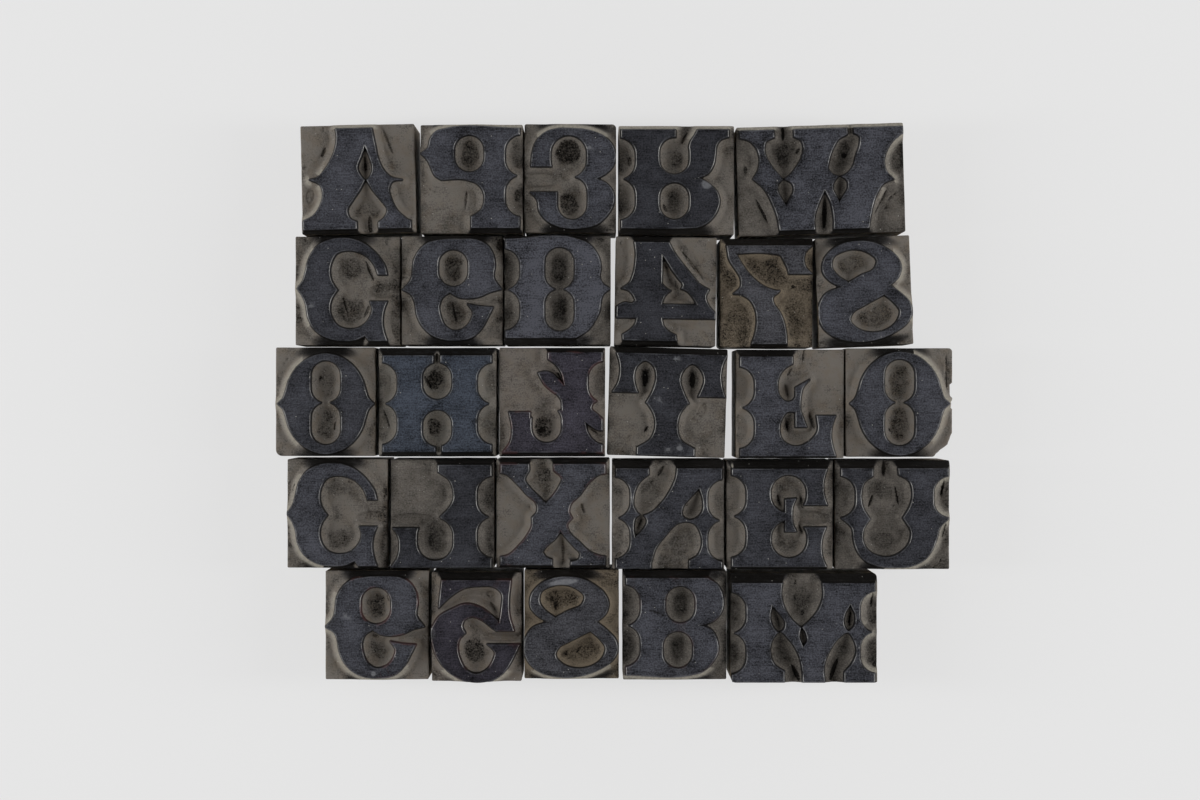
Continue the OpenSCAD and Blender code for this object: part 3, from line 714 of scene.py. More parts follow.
class CarvedTop:
    """The carved surface of one sort at some points in its own frame.

    Stride is the distance from the edge of the face with a little waver, and step_at is where a wide
    floor rises from the router's track along the face to the flat shoulder.
    """

    def __init__(self, sort: "Sort", points: np.ndarray) -> None:
        """Measures the points and lays out the noise that the shapes and stains share.

        Args:
            sort: The sort that is carved.
            points: Points in its own frame.
        """
        self.sort = sort
        self.cut = sort.profile
        self.wear = sort.wear
        self.points = points
        self.reach, self.counter, self.away = sort.outline.reach(points)
        seed = sort.index * 3.7
        self.slow = ripple(points, 0.16, seed)
        self.medium = ripple(points, 0.5, seed + 1)
        self.quick = ripple(points, 1.4, seed + 2)
        self.wide = np.where(self.counter, 0, sort.wide_floor(points))
        self.stride = self.reach + 0.12 * self.medium * ease(self.reach, 0.3, 1.2)
        self.step_at = 2.7 + 1.0 * self.slow + 0.7 * self.medium + 0.25 * self.quick
        self.past = ease(self.stride - self.step_at, -0.2, 0.2) * self.wide
        self.track = ease(self.stride, *self.cut.track_run)
        self.bowl = ease(self.stride, *self.cut.bowl_run) * (1 - self.wide)
        wander = 0.5 * np.stack([self.medium, self.quick], axis=1)
        self.core = self._marked(self.wear.cores, wander) * ease(self.reach, 0.4, 1.1)
        self.score = np.clip(self._marked(self.wear.scores), 0, 1) * ease(self.reach, 0.3, 0.7)
        self.coarse = self._coarse()
        self.groove = self._groove()
        self.outward_light = self._outward_light()

    def _marked(self, marks: tuple[Scuff, ...], wander: Union[np.ndarray, float] = 0.0) -> np.ndarray:
        """Adds up how much of some marks shows at each point, which may wander a little."""
        shares = (mark.share(self.points + wander) for mark in marks)
        return sum(shares, np.zeros(len(self.points)))

    def _coarse(self) -> np.ndarray:
        """Finds where the wood is rough.

        Returns:
            0 on smooth wood and 1 on the roughest.
        """
        core = ease(self.stride + 0.35 * self.medium, 1.25, 1.75) * (1 - self.wide)
        patch = ease(self.slow + 0.8 * self.medium, 0.15, 0.75)
        worked = self.track * (1 - self.past) * self.wide * patch * 0.2
        pits = np.where(self.counter, self.wear.pits, self.wear.open_pits)
        coarse = np.clip((core * (0.75 + 0.5 * self.medium) + worked) * pits, 0, 1)
        grit = self.wear.grit * (0.55 + 0.5 * self.slow + 0.4 * self.medium) * ease(self.stride, 0.5, 1.3)
        coarse = np.clip(np.maximum(coarse, grit), 0, 1)
        return np.maximum(coarse, self.core * self.wear.pits)

    def _groove(self) -> np.ndarray:
        """Finds the ragged groove at the foot of the flat shoulder.

        Returns:
            1 in the middle of the groove.
        """
        ragged = ease(self.slow + 0.7 * self.medium + 0.6 * self.quick, 0.35, 0.9)
        return np.exp(-(((self.stride - self.step_at + 0.15) / 0.2) ** 2)) * ragged * self.wide

    def _slope(self) -> np.ndarray:
        """1 below the outer edges of a face, where no counter is."""
        return ease(self.reach, 0.02, 0.2) * np.where(self.counter, 0, 1)

    def _outward_light(self) -> np.ndarray:
        """Finds the painted light on the slopes that face out of the set.

        Returns:
            0 where no light is painted and 1 or a little more where it is brightest.
        """
        outward_light = self._slope() * (1 - ease(self.reach, 0.75, 1.7))
        lit = outward_light > 0.01
        least = self.wear.pale * 0.6
        facing = least + (1.1 - least) * np.abs(self.away[lit, 1])
        outward_light[lit] *= self.sort.open_side(self.points[lit], self.away[lit]) * facing
        return outward_light

    def depth(self) -> np.ndarray:
        """Works out how deep the cuts are.

        Returns:
            Depths in mm below the face.
        """
        cut = self.cut
        floor = cut.wall(self.stride)
        floor = floor + (cut.track_depth - floor) * self.track
        bottom = np.where(self.counter, cut.bowl_depth, cut.open_bowl_depth)
        floor = floor + (bottom - floor) * self.bowl
        floor = floor + (cut.shoulder_depth - floor) * self.past
        routed = np.clip(self._marked(self.wear.channels), 0, 1) * ease(self.reach, 0.3, 1.0)
        floor = floor + self.quick * (cut.pit_depth * self.coarse + cut.chatter_depth * self.track)
        floor = floor + cut.groove_depth * self.groove
        floor = floor + cut.score_depth * self.score + cut.channel_depth * routed
        return np.where(self.reach < cut.reach[0], 0, floor)

    def bowl_shade_and_ink(self) -> np.ndarray:
        """Finds the painted shade, with ink, that darkens the bowls.

        Returns:
            0 on clean wood and 1 in the darkest bowl.
        """
        dim = np.where(self.counter, self.wear.bowl_shade_and_ink, self.wear.open_bowl_shade_and_ink)
        bowl_shade_and_ink = self.bowl * ease(self.stride + 0.6 * self.medium, 0.8, 2.7) * dim
        return np.clip(np.maximum(bowl_shade_and_ink, self.core), 0, 1)

    def edge_darkening(self) -> np.ndarray:
        """Finds how much darker the wood is along the edges of the block.

        Returns:
            0 where it is not darkened and 1 where it is darkest.
        """
        rim_gap = np.min(self.sort.half - np.abs(self.points), axis=1)
        patchy = np.clip(0.35 + 1.1 * self.slow + 0.6 * self.medium, 0, 1)
        return (1 - ease(rim_gap, 0.1, 2.2)) * patchy

    def strip_shade_and_ink(self) -> np.ndarray:
        """Finds the strips of painted shade and ink on the slopes at the head and the foot of the block.

        Returns:
            1 where a strip is fully black.
        """
        end = 1 - ease(self.sort.half[1] - np.abs(self.points[:, 1]), 1.6, 2.8)
        near = self._slope() * (1 - ease(self.reach, 2.2, 3.4)) * (1 - self.outward_light)
        return near * end * ease(np.abs(self.away[:, 1]), 0.7, 0.95)

    def marks(self) -> dict[str, np.ndarray]:
        """Lists the marks that differ from point to point.

        Returns:
            The numbers that the finish reads, by name.
        """
        return {
            "reach": np.clip(self.reach, -3, 9),
            "coarse": self.coarse,
            "bowl_shade_and_ink": self.bowl_shade_and_ink(),
            "score": self.score,
            "edge_darkening": self.edge_darkening(),
            "scuff": self._marked(self.wear.scuffs),
            "groove": np.clip(self.groove, 0, 1),
            "outward_light": self.outward_light,
            "strip_shade_and_ink": self.strip_shade_and_ink(),
            "glint": ease(np.abs(self.away[:, 0]), 0.75, 0.98),
        }


@dataclass
class Sort:
    """One sort of type: a block of wood with a letter or figure cut in relief."""

    name: str
    index: int
    wear: Wear
    profile: CutProfile = CutProfile()
    level: float = 0.01
    weld: float = 0.002
    edge_wear: float = 0.16
    edge_waver: float = 0.05
    edge_spacing: float = 0.45
    corner_points: int = 6
    scan_spacing: float = 0.7
    cut_spacing: float = 0.3
    cut_from: float = 1.85
    face_spacing: float = 1.3
    face_until: float = -0.7
    jitter: float = 0.3
    border_gap: float = 0.16
    merge: float = 0.085
    slope_room: float = 6.5
    look_ahead: tuple[float, ...] = (2.0, 4.0, 6.0, 9.0, 12.0, 16.0, 20.0)
    look_beside: float = 0.5
    lip: float = 0.12
    foot_chamfer: float = 0.2
    foot_slope: float = 0.8
    sharp_from: float = math.radians(58)

    def __post_init__(self) -> None:
        """Reads the solid of this sort and finds its middle and turn."""
        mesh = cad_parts[self.name].data
        self.points = np.array([v.co for v in mesh.vertices]) / MM
        self.top = float(self.points[:, 2].max())
        self.rng = np.random.default_rng(100 + self.index)
        self.neighbours: list["Sort"] = []
        foot = self.points[self.points[:, 2] < self.level][:, :2]
        left_foot = foot[np.argmin(foot[:, 0] + foot[:, 1])]
        right_foot = foot[np.argmax(foot[:, 0] - foot[:, 1])]
        left_head = foot[np.argmax(foot[:, 1] - foot[:, 0])]
        right_head = foot[np.argmax(foot[:, 0] + foot[:, 1])]
        self.middle = (left_foot + right_head) / 2
        along = right_foot - left_foot
        self.turn = math.atan2(along[1], along[0])
        self.half = np.array([np.linalg.norm(along), np.linalg.norm(left_head - left_foot)]) / 2
        self.outline = FaceOutline(self._face_loops(mesh))

    def _to_sort(self, points: np.ndarray) -> np.ndarray:
        """Moves points of the set into the sort's own level frame."""
        c, s = math.cos(self.turn), math.sin(self.turn)
        return (points - self.middle) @ np.array([[c, -s], [s, c]])

    def _to_set(self, points: np.ndarray) -> np.ndarray:
        """Moves points of the sort back to their place in the set."""
        c, s = math.cos(self.turn), math.sin(self.turn)
        return points @ np.array([[c, s], [-s, c]]) + self.middle

    def _face_loops(self, mesh: bpy.types.Mesh) -> list[np.ndarray]:
        """Finds the loops around the top faces of the solid.

        Args:
            mesh: The solid's mesh.

        Returns:
            The loops in the sort's own frame, with the face on their left.
        """
        keys = np.round(self.points / self.weld).astype(int)
        _, first, same = np.unique(keys, axis=0, return_index=True, return_inverse=True)
        same = same.reshape(-1)
        on_top = self.points[:, 2] > self.top - self.level
        edges: set[tuple[int, int]] = set()
        for polygon in mesh.polygons:
            corners = list(polygon.vertices)
            if all(on_top[i] for i in corners):
                ids = [int(same[i]) for i in corners]
                edges.update(zip(ids, ids[1:] + ids[:1]))
        following: dict[int, list[int]] = {}
        for a, b in sorted(edges):
            if (b, a) not in edges:
                following.setdefault(a, []).append(b)
        flat = self._to_sort(self.points[first][:, :2])
        loops = []
        while following:
            start = next(iter(following))
            chain = [start]
            while True:
                step = following[chain[-1]].pop()
                if not following[chain[-1]]:
                    del following[chain[-1]]
                if step == start or step not in following:
                    break
                chain.append(step)
            loops.append(flat[chain])
        return loops

    def _edge(self) -> tuple[np.ndarray, np.ndarray]:
        """Draws the edge of the block with rounded corners.

        Returns:
            Points around the block and their outward directions.
        """
        points, normals = [], []
        signs = [(1, 1), (-1, 1), (-1, -1), (1, -1)]
        for number, (sx, sy) in enumerate(signs):
            radius = self.wear.corners[number]
            centre = np.array([sx, sy]) * (self.half - radius)
            begin = number * math.pi / 2
            for angle in np.linspace(begin, begin + math.pi / 2, self.corner_points):
                normal = np.array([math.cos(angle), math.sin(angle)])
                points.append(centre + normal * radius)
                normals.append(normal)
            nx, ny = signs[(number + 1) % 4]
            next_radius = self.wear.corners[(number + 1) % 4]
            next_centre = np.array([nx, ny]) * (self.half - next_radius)
            goal = next_centre + normals[-1] * next_radius
            run = goal - points[-1]
            count = math.ceil(np.linalg.norm(run) / self.edge_spacing)
            last = points[-1]
            for k in range(1, count):
                points.append(last + run * k / count)
                normals.append(normals[-1])
        edge, outward = np.array(points), np.array(normals)
        waver = self.edge_waver * (1 + ripple(edge, 0.22, self.index * 5.1))
        edge = edge - outward * waver[:, None]
        for chip in self.wear.chips:
            near = 1 - ease(np.hypot(*(edge - chip.at).T), chip.radius * 0.75, chip.radius)
            edge = edge - outward * (near * chip.bite)[:, None]
        for lost in self.wear.breaks:
            aim = math.radians(lost.heading)
            normal = np.array([math.cos(aim), math.sin(aim)])
            jag = lost.rough * ripple(edge, 0.8, self.index * 2.3)
            over = (edge - lost.at) @ normal + jag
            edge = edge - normal * np.maximum(over, 0)[:, None]
            outward = np.where(over[:, None] > 0, normal, outward)
        return edge, outward

    def _grid(self, spacing: float, beyond: float = 0.0) -> np.ndarray:
        """Points of a square grid over the block, whose last row may lie a little beyond it."""
        xs, ys = (np.arange(-half, half + beyond, spacing) for half in self.half)
        return np.stack(np.meshgrid(xs, ys), axis=2).reshape(-1, 2)

    def wide_floor(self, points: np.ndarray) -> np.ndarray:
        """Finds where the cut is wide enough to keep a flat shoulder.

        Args:
            points: Points in the sort's own frame.

        Returns:
            0 in narrow cuts and 1 on wide ones.
        """
        grid = self._grid(self.scan_spacing, 0.1)
        reach, _, _ = self.outline.reach(grid)
        wide = grid[reach > self.profile.wide_from]
        if not len(wide):
            return np.zeros(len(points))
        near = np.empty(len(points))
        for first in range(0, len(points), BATCH):
            batch = slice(first, first + BATCH)
            gap = points[batch, None, :] - wide
            near[batch] = np.sqrt(np.sum(gap * gap, axis=2).min(axis=1))
        return 1 - ease(near, *self.profile.shoulder_fade)

    def open_side(self, points: np.ndarray, away: np.ndarray) -> np.ndarray:
        """Finds the slopes that face out of the set and not a neighbour.

        Args:
            points: Points in the sort's own frame.
            away: The directions that the slopes face.

        Returns:
            1 where nothing stands in front of a slope.
        """
        free = ~np.all(np.abs(points + away * self.slope_room) < self.half, axis=1)
        for stride in self.look_ahead:
            ahead = self._to_set(points + away * stride)
            for other in self.neighbours:
                if other is not self:
                    beside = np.abs(other._to_sort(ahead)) < other.half + self.look_beside
                    free &= ~np.all(beside, axis=1)
        return free.astype(float)

    def _plan(self, border: np.ndarray) -> tuple[np.ndarray, list[tuple[int, int]]]:
        """Lays out the points of the carved surface.

        Args:
            border: Points around the top of the block.

        Returns:
            All points, the border first and the outline next, and the edges that the mesh keeps.
        """
        edges = []
        fixed = [border]
        count = 0
        for loop in [border] + self.outline.loops:
            edges += [(count + i, count + (i + 1) % len(loop)) for i in range(len(loop))]
            count += len(loop)
        fixed += self.outline.loops
        stations = tuple(d for d in self.profile.reach if abs(d) > self.level)
        free = [self.outline.rings(stations)]
        for spacing, low, high in (
            (self.cut_spacing, self.cut_from, math.inf),
            (self.face_spacing, -math.inf, self.face_until),
        ):
            grid = self._grid(spacing)
            grid = grid + self.rng.uniform(-self.jitter, self.jitter, grid.shape) * spacing
            reach, _, _ = self.outline.reach(grid)
            free.append(grid[(reach > low) & (reach < high)])
        free += [mark.grid() for mark in self.wear.scuffs + self.wear.scores + self.wear.channels]
        loose = np.vstack(free)
        margin = self.edge_wear + self.border_gap
        loose = loose[np.all(np.abs(loose) < self.half - margin, axis=1)]
        if self.wear.chips or self.wear.breaks:
            inside, _, _ = FaceOutline([border]).reach(loose)
            loose = loose[inside < -self.border_gap]
        cells = np.round(loose / self.merge).astype(int)
        _, keep = np.unique(cells, axis=0, return_index=True)
        return np.vstack(fixed + [loose[np.sort(keep)]]), edges

    def build(self) -> bpy.types.Object:
        """Makes the sort's mesh, dresses it and lets it ride on its body.

        Returns:
            The new piece.
        """
        edge, outward = self._edge()
        wobble = ripple(edge, 0.6, self.index * 1.9)
        border = edge - outward * (self.edge_wear * (1 + 0.5 * wobble))[:, None]
        points, edges = self._plan(border)
        flat = [Vector(p) for p in points]
        out, _, triangles, origin, _, _ = delaunay_2d_cdt(flat, edges, [], 1, 1e-5)
        place = {source: i for i, sources in enumerate(origin) for source in sources}
        ring = [place[i] for i in range(len(border))]
        top = CarvedTop(self, np.array([tuple(v) for v in out]))
        drop = self.edge_wear * (1.2 + 0.6 * wobble)
        solid = self._stack(top, ring, edge, outward, drop)
        world = np.column_stack([self._to_set(solid[:, :2]), solid[:, 2]]) * MM
        faces = [tuple(t) for t in triangles] + self._walls(ring, len(top.points))
        mesh = bpy.data.meshes.new(self.name + "_wood")
        mesh.from_pydata(world.tolist(), [], faces)
        mesh.validate()
        self._mark(mesh, top, ring)
        mesh.shade_smooth()
        mesh.set_sharp_from_angle(angle=self.sharp_from)
        piece = bpy.data.objects.new(self.name + "_wood", mesh)
        bpy.context.scene.collection.objects.link(piece)
        mesh.materials.append(InkedWood(self.wear.tint).material())
        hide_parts(self.name)
        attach(piece, self.name)
        LOG.info("%s: %d points, %d faces", piece.name, len(mesh.vertices), len(mesh.polygons))
        return piece

    def _stack(
        self, top: CarvedTop, ring: list[int], edge: np.ndarray, outward: np.ndarray, drop: np.ndarray
    ) -> np.ndarray:
        """Stacks the points of the block: its top, then four rings down its flanks.

        Args:
            top: The carved top.
            ring: Which of its points run around the block.
            edge: Points around the block.
            outward: Their outward directions.
            drop: How far the worn edge falls at each of them.

        Returns:
            Points in the sort's own frame.
        """
        surface = np.column_stack([top.points, self.top - top.depth()])
        shelf = surface[ring][:, 2] - drop
        sole = edge - outward * self.foot_chamfer * self.foot_slope
        rings = (
            (edge, shelf),
            (edge, shelf - self.lip),
            (edge, np.full(len(ring), self.foot_chamfer)),
            (sole, np.zeros(len(ring))),
        )
        return np.vstack([surface] + [np.column_stack(part) for part in rings])

    @staticmethod
    def _walls(ring: list[int], base: int) -> list[tuple[int, ...]]:
        """Lists the faces of the flanks and of the foot.

        Args:
            ring: Which points of the top run around the block.
            base: How many points the top has.

        Returns:
            The faces, by their points.
        """
        count = len(ring)
        rows = [ring] + [[base + k * count + i for i in range(count)] for k in range(4)]
        faces: list[tuple[int, ...]] = []
        for upper, lower in zip(rows, rows[1:]):
            for i in range(count):
                j = (i + 1) % count
                faces.append((upper[i], lower[i], lower[j], upper[j]))
        faces.append(tuple(reversed(rows[-1])))
        return faces

    def _mark(self, mesh: bpy.types.Mesh, top: CarvedTop, ring: list[int]) -> None:
        """Stores on the mesh what the finish reads.

        Args:
            mesh: The mesh of the sort.
            top: The carved top.
            ring: Which of its points run around the block.
        """
        base, count = len(top.points), len(ring)
        below = np.zeros(3 * count)
        marks = {
            mark: np.concatenate([values, values[ring], below]) for mark, values in top.marks().items()
        }
        marks["flank"] = np.concatenate([np.zeros(base + count), np.ones(3 * count)])
        alike = {
            "tone": self.wear.inking.value,
            "floor": self.wear.cuts.value.floor,
            "warmth": self.wear.cuts.value.warmth,
            "frost": self.wear.frost,
            "rouge": self.wear.rouge,
            "age": self.rng.uniform(-1.0, 1.0),
        }
        for mark, level in alike.items():
            marks[mark] = np.full(base + 4 * count, level)
        for mark, values in marks.items():
            layer = mesh.attributes.new(mark, "FLOAT", "POINT")
            layer.data.foreach_set("value", values.astype(np.float32))


SET_WEAR: dict[str, Wear] = {
    "letter_a": Wear(
        cuts=CutTone.DUSTY, pits=0.7, bowl_shade_and_ink=0.7, open_pits=0.5, open_bowl_shade_and_ink=0.5,
        scores=(
            Scuff((-7.9, 6.5), (1.25, 0.35), 0.9, 65.0), Scuff((7.0, 8.6), (3.2, 0.3), 0.9, -69.0),
            Scuff((-11.2, -3.7), (1.9, 1.1), 0.45, 85.0), Scuff((2.5, -10.6), (2.2, 0.45), 0.8, 90.0),
            Scuff((1.7, 3.5), (1.9, 0.35), 0.8, 90.0),
        ),
    ),
    "letter_p": Wear(
        pits=0.9, bowl_shade_and_ink=0.8, open_bowl_shade_and_ink=0.4,
        scores=(
            Scuff((-1.3, -4.8), (2.2, 0.3), 0.6, 85.0), Scuff((10.1, 8.5), (1.6, 0.8), 0.4, 90.0),
            Scuff((10.6, -3.9), (1.6, 0.8), 0.4, 90.0),
        ),
    ),
    "figure_3": Wear(
        pits=0.9, bowl_shade_and_ink=0.8, open_pits=0.2, open_bowl_shade_and_ink=0.3, corners=(1.0, 0.5, 0.35, 0.35),
        scuffs=(Scuff((4.4, 6.95), (0.6, 0.45), 0.5),),
        cores=(Scuff((-0.5, 6.2), (2.9, 3.0), 0.9), Scuff((-0.5, -6.0), (2.6, 2.8), 0.9)),
        channels=(Scuff((-7.2, -0.3), (5.0, 1.7), 1.0),),
    ),
    "letter_r": Wear(
        inking=Inking.HEAVY, pits=0.3, bowl_shade_and_ink=0.9, open_bowl_shade_and_ink=0.4,
        scuffs=(Scuff((7.0, -0.95), (1.3, 1.2), 0.5),),
        scores=(
            Scuff((1.9, 9.8), (1.5, 0.35), 0.9, 65.0), Scuff((-10.8, 4.4), (1.2, 0.5), 0.6, 90.0),
            Scuff((-2.7, -6.4), (0.9, 0.3), 1.0, -65.0),
        ),
        cores=(Scuff((0.0, 5.2), (1.7, 2.3), 0.9),),
    ),
    "letter_w": Wear(
        cuts=CutTone.SOOTY, pale=0.5, pits=0.3, bowl_shade_and_ink=0.8, open_bowl_shade_and_ink=0.5, frost=0.7,
        scores=(
            Scuff((-8.5, 11.0), (1.8, 0.35), 0.9, 90.0), Scuff((5.6, 5.5), (0.7, 0.6), 0.8),
            Scuff((0.6, -7.8), (3.8, 0.55), 0.9, 88.0), Scuff((-13.9, -6.9), (3.2, 0.35), 0.7, -65.0),
            Scuff((13.9, -5.1), (4.0, 0.22), 0.5, 62.0), Scuff((-17.4, 2.8), (1.0, 0.5), 0.5, 90.0),
            Scuff((-5.2, 6.8), (0.7, 0.3), 0.8, 60.0),
        ),
        cores=(Scuff((-8.6, 6.0), (1.9, 2.9), 0.9), Scuff((5.4, 6.6), (1.5, 2.6), 0.8, -15.0)),
    ),
    "letter_c_1": Wear(
        inking=Inking.FULL, pits=0.4, bowl_shade_and_ink=0.3, open_pits=0.5, open_bowl_shade_and_ink=0.5,
        scuffs=(Scuff((-8.3, -3.6), (0.5, 0.45), 0.4),),
        scores=(
            Scuff((4.7, -4.5), (1.9, 0.35), 0.9, 63.0), Scuff((-0.6, -3.4), (1.9, 0.2), 0.7, -74.0),
            Scuff((5.2, 4.7), (2.6, 0.3), 0.8, -68.0), Scuff((4.4, -10.5), (1.4, 0.3), 0.7, 48.0),
        ),
        cores=(Scuff((1.0, 5.2), (2.6, 2.6), 0.7), Scuff((0.7, -4.9), (2.8, 2.8), 0.6)),
        channels=(Scuff((8.8, 0.0), (3.6, 1.7), 1.0),),
    ),
    "figure_9_1": Wear(
        pits=0.7, bowl_shade_and_ink=0.7, open_pits=0.5, open_bowl_shade_and_ink=0.6,
        scores=(
            Scuff((0.5, -5.1), (2.4, 0.25), 0.8, -78.0), Scuff((11.0, -7.9), (2.0, 1.2), 0.35, 80.0),
            Scuff((11.3, 10.6), (1.5, 1.0), 0.4, 90.0),
        ),
    ),
    "letter_d": Wear(
        inking=Inking.RUBBED, cuts=CutTone.SOOTY, pits=0.4, bowl_shade_and_ink=0.9, open_bowl_shade_and_ink=0.4, frost=0.2,
    ),
    "figure_4": Wear(
        inking=Inking.HEAVY, cuts=CutTone.DUSTY, pits=0.6, bowl_shade_and_ink=0.0, open_pits=0.5,
        scores=(
            Scuff((0.0, 5.9), (0.9, 0.35), 1.0, -45.0), Scuff((2.5, 1.5), (1.2, 0.25), 0.7, -70.0),
            Scuff((6.2, 6.0), (4.6, 0.4), 0.5, -52.0),
        ),
        cores=(Scuff((5.3, 8.0), (4.2, 1.5), 0.6, -52.0),),
    ),
    "figure_7": Wear(
        Tint.UMBER, pits=1.0, bowl_shade_and_ink=0.2, open_pits=0.9, grit=0.9, corners=(0.35, 0.35, 0.9, 0.35),
        scores=(Scuff((6.2, 1.4), (0.45, 0.4), 0.9),),
        cores=(
            Scuff((-1.0, 5.4), (4.5, 2.6), 0.5), Scuff((6.5, -5.2), (3.0, 5.5), 0.5),
            Scuff((-7.8, 3.0), (2.2, 3.0), 0.5), Scuff((-6.4, -6.5), (3.6, 4.5), 0.5),
        ),
    ),
    "figure_8_1": Wear(cuts=CutTone.DUSTY, pits=0.8, bowl_shade_and_ink=0.3, grit=0.25),
    "letter_o_1": Wear(
        inking=Inking.FULL, cuts=CutTone.DUSTY, pits=0.5, bowl_shade_and_ink=0.9, corners=(0.4, 0.4, 1.5, 0.4),
        scores=(Scuff((2.2, -5.6), (1.1, 0.2), 0.9, 80.0), Scuff((-1.3, 5.4), (0.8, 0.2), 0.7, 80.0)),
    ),
    "letter_h": Wear(
        Tint.NAVY, pits=0.7, bowl_shade_and_ink=0.7,
        scores=(
            Scuff((-2.3, 4.6), (2.0, 0.35), 1.0, -62.0), Scuff((-0.2, 10.4), (1.0, 0.3), 1.0, 90.0),
            Scuff((-0.2, -10.8), (1.2, 0.2), 0.7, 90.0), Scuff((-11.8, -3.8), (2.4, 0.2), 0.6, -70.0),
        ),
        cores=(Scuff((-0.6, 5.2), (1.9, 2.4), 0.9), Scuff((-0.6, -5.8), (2.0, 2.2), 0.9)),
    ),
    "letter_l_stroke": Wear(
        Tint.VIOLET, inking=Inking.FULL, pits=0.8, bowl_shade_and_ink=0.3, open_pits=0.3, open_bowl_shade_and_ink=0.3, grit=0.3,
        rouge=0.6,
        scores=(
            Scuff((-2.4, -6.5), (1.0, 0.7), 0.6, 30.0), Scuff((9.2, -6.1), (1.8, 0.25), 0.8, -45.0),
            Scuff((2.0, 5.9), (1.2, 0.25), 0.8, -60.0),
        ),
        cores=(Scuff((-2.0, -5.8), (2.4, 2.6), 0.9),),
    ),
    "letter_t": Wear(
        inking=Inking.HEAVY, pits=0.2, bowl_shade_and_ink=1.0, open_bowl_shade_and_ink=1.0, frost=0.3,
        scuffs=(
            Scuff((1.5, 10.1), (0.35, 0.35), 0.5), Scuff((3.1, -10.6), (0.8, 0.6), 0.5),
            Scuff((0.4, -11.0), (0.6, 0.45), 0.4), Scuff((-1.9, 0.4), (0.45, 0.4), 0.4),
        ),
        scores=(
            Scuff((-4.7, -6.4), (0.8, 0.25), 0.9, 60.0), Scuff((8.1, -1.6), (2.0, 1.0), 0.4, 75.0),
            Scuff((-5.3, 5.3), (2.0, 0.7), 0.7, 90.0), Scuff((5.7, 5.2), (2.0, 0.7), 0.6, 90.0),
        ),
        cores=(Scuff((-5.3, 5.6), (1.3, 2.4), 1.0), Scuff((5.8, 5.6), (1.3, 2.4), 1.0)),
    ),
    "letter_f": Wear(
        cuts=CutTone.DUSTY, pits=0.4, bowl_shade_and_ink=0.3,
        scores=(
            Scuff((-0.8, 3.0), (1.6, 0.3), 0.8, -75.0), Scuff((-0.2, 7.4), (1.0, 0.3), 0.8, 60.0),
            Scuff((-0.8, -4.7), (1.8, 0.3), 0.7, 100.0), Scuff((5.1, -4.1), (2.0, 0.35), 0.9, -70.0),
            Scuff((3.1, 11.4), (1.5, 0.25), 0.7, 80.0),
        ),
        cores=(Scuff((-0.2, -5.6), (1.6, 1.4), 0.6),),
    ),
    "letter_o_2": Wear(
        cuts=CutTone.DUSTY, pits=0.7, bowl_shade_and_ink=0.4, corners=(0.9, 0.35, 0.35, 0.35),
        chips=(Chip((12.44, 2.9), 1.7, 0.55), Chip((12.44, -0.4), 1.1, 0.4)),
        breaks=(Break((11.4, -9.4), -22.0, 0.2), Break((9.6, -11.2), -52.0, 0.4)),
        scores=(Scuff((-2.2, -6.4), (0.6, 0.2), 0.8, -60.0), Scuff((11.0, 7.1), (4.5, 0.13), 0.6, 90.0)),
    ),
    "letter_c_2": Wear(
        pits=0.4, bowl_shade_and_ink=0.3, open_pits=0.6, open_bowl_shade_and_ink=0.5,
        scores=(Scuff((-10.0, 6.1), (1.0, 0.2), 0.7, 75.0), Scuff((3.3, 7.4), (0.8, 0.5), 0.5)),
        cores=(Scuff((0.3, -6.0), (2.7, 2.7), 0.8), Scuff((0.0, 5.8), (2.4, 2.4), 0.5)),
        channels=(Scuff((8.4, -1.0), (4.0, 1.5), 1.0),),
    ),
    "letter_l": Wear(
        inking=Inking.HEAVY, cuts=CutTone.SOOTY, pits=0.2, bowl_shade_and_ink=0.9, open_bowl_shade_and_ink=0.4,
        cores=(Scuff((-1.8, -6.5), (1.8, 2.6), 1.0),),
        channels=(Scuff((-7.0, -1.3), (5.0, 1.4), 1.0),),
    ),
    "letter_x": Wear(
        cuts=CutTone.DUSTY, pits=0.6, bowl_shade_and_ink=0.3, open_pits=0.4, open_bowl_shade_and_ink=0.4, rouge=0.4,
        scores=(Scuff((6.8, 1.2), (1.2, 0.3), 1.0, -72.0), Scuff((2.3, -8.5), (3.4, 0.35), 0.8, 90.0)),
        cores=(Scuff((-2.0, 9.0), (1.7, 2.0), 0.8),),
    ),
    "letter_n": Wear(
        inking=Inking.FULL, pits=0.4, bowl_shade_and_ink=0.4, open_bowl_shade_and_ink=0.3,
        scores=(
            Scuff((-1.7, 10.1), (1.5, 0.4), 0.7, 60.0), Scuff((4.4, 2.7), (1.2, 0.3), 0.7, 65.0),
            Scuff((-6.6, -2.2), (1.3, 0.15), 0.6, 65.0), Scuff((-11.4, -10.1), (1.6, 1.0), 0.5, 80.0),
        ),
        cores=(Scuff((-5.2, 7.0), (1.5, 2.8), 0.7, -30.0), Scuff((2.8, -7.3), (2.2, 3.0), 0.5, -30.0)),
    ),
    "letter_e": Wear(
        inking=Inking.FULL, pits=0.2, bowl_shade_and_ink=0.3, open_bowl_shade_and_ink=0.3,
        scores=(
            Scuff((-0.2, 3.4), (1.5, 0.25), 0.8, -75.0), Scuff((5.1, 2.8), (1.3, 0.3), 1.0, -80.0),
            Scuff((4.9, -3.4), (1.3, 0.25), 0.9, -65.0), Scuff((-0.2, -2.5), (1.2, 0.2), 0.5, 75.0),
        ),
        cores=(Scuff((-0.2, 6.2), (1.6, 1.3), 0.6), Scuff((-0.2, -6.2), (1.8, 1.5), 0.6)),
        channels=(Scuff((7.6, -0.8), (4.2, 1.5), 1.0),),
    ),
    "letter_u": Wear(
        inking=Inking.FULL, cuts=CutTone.SOOTY, pale=0.5,
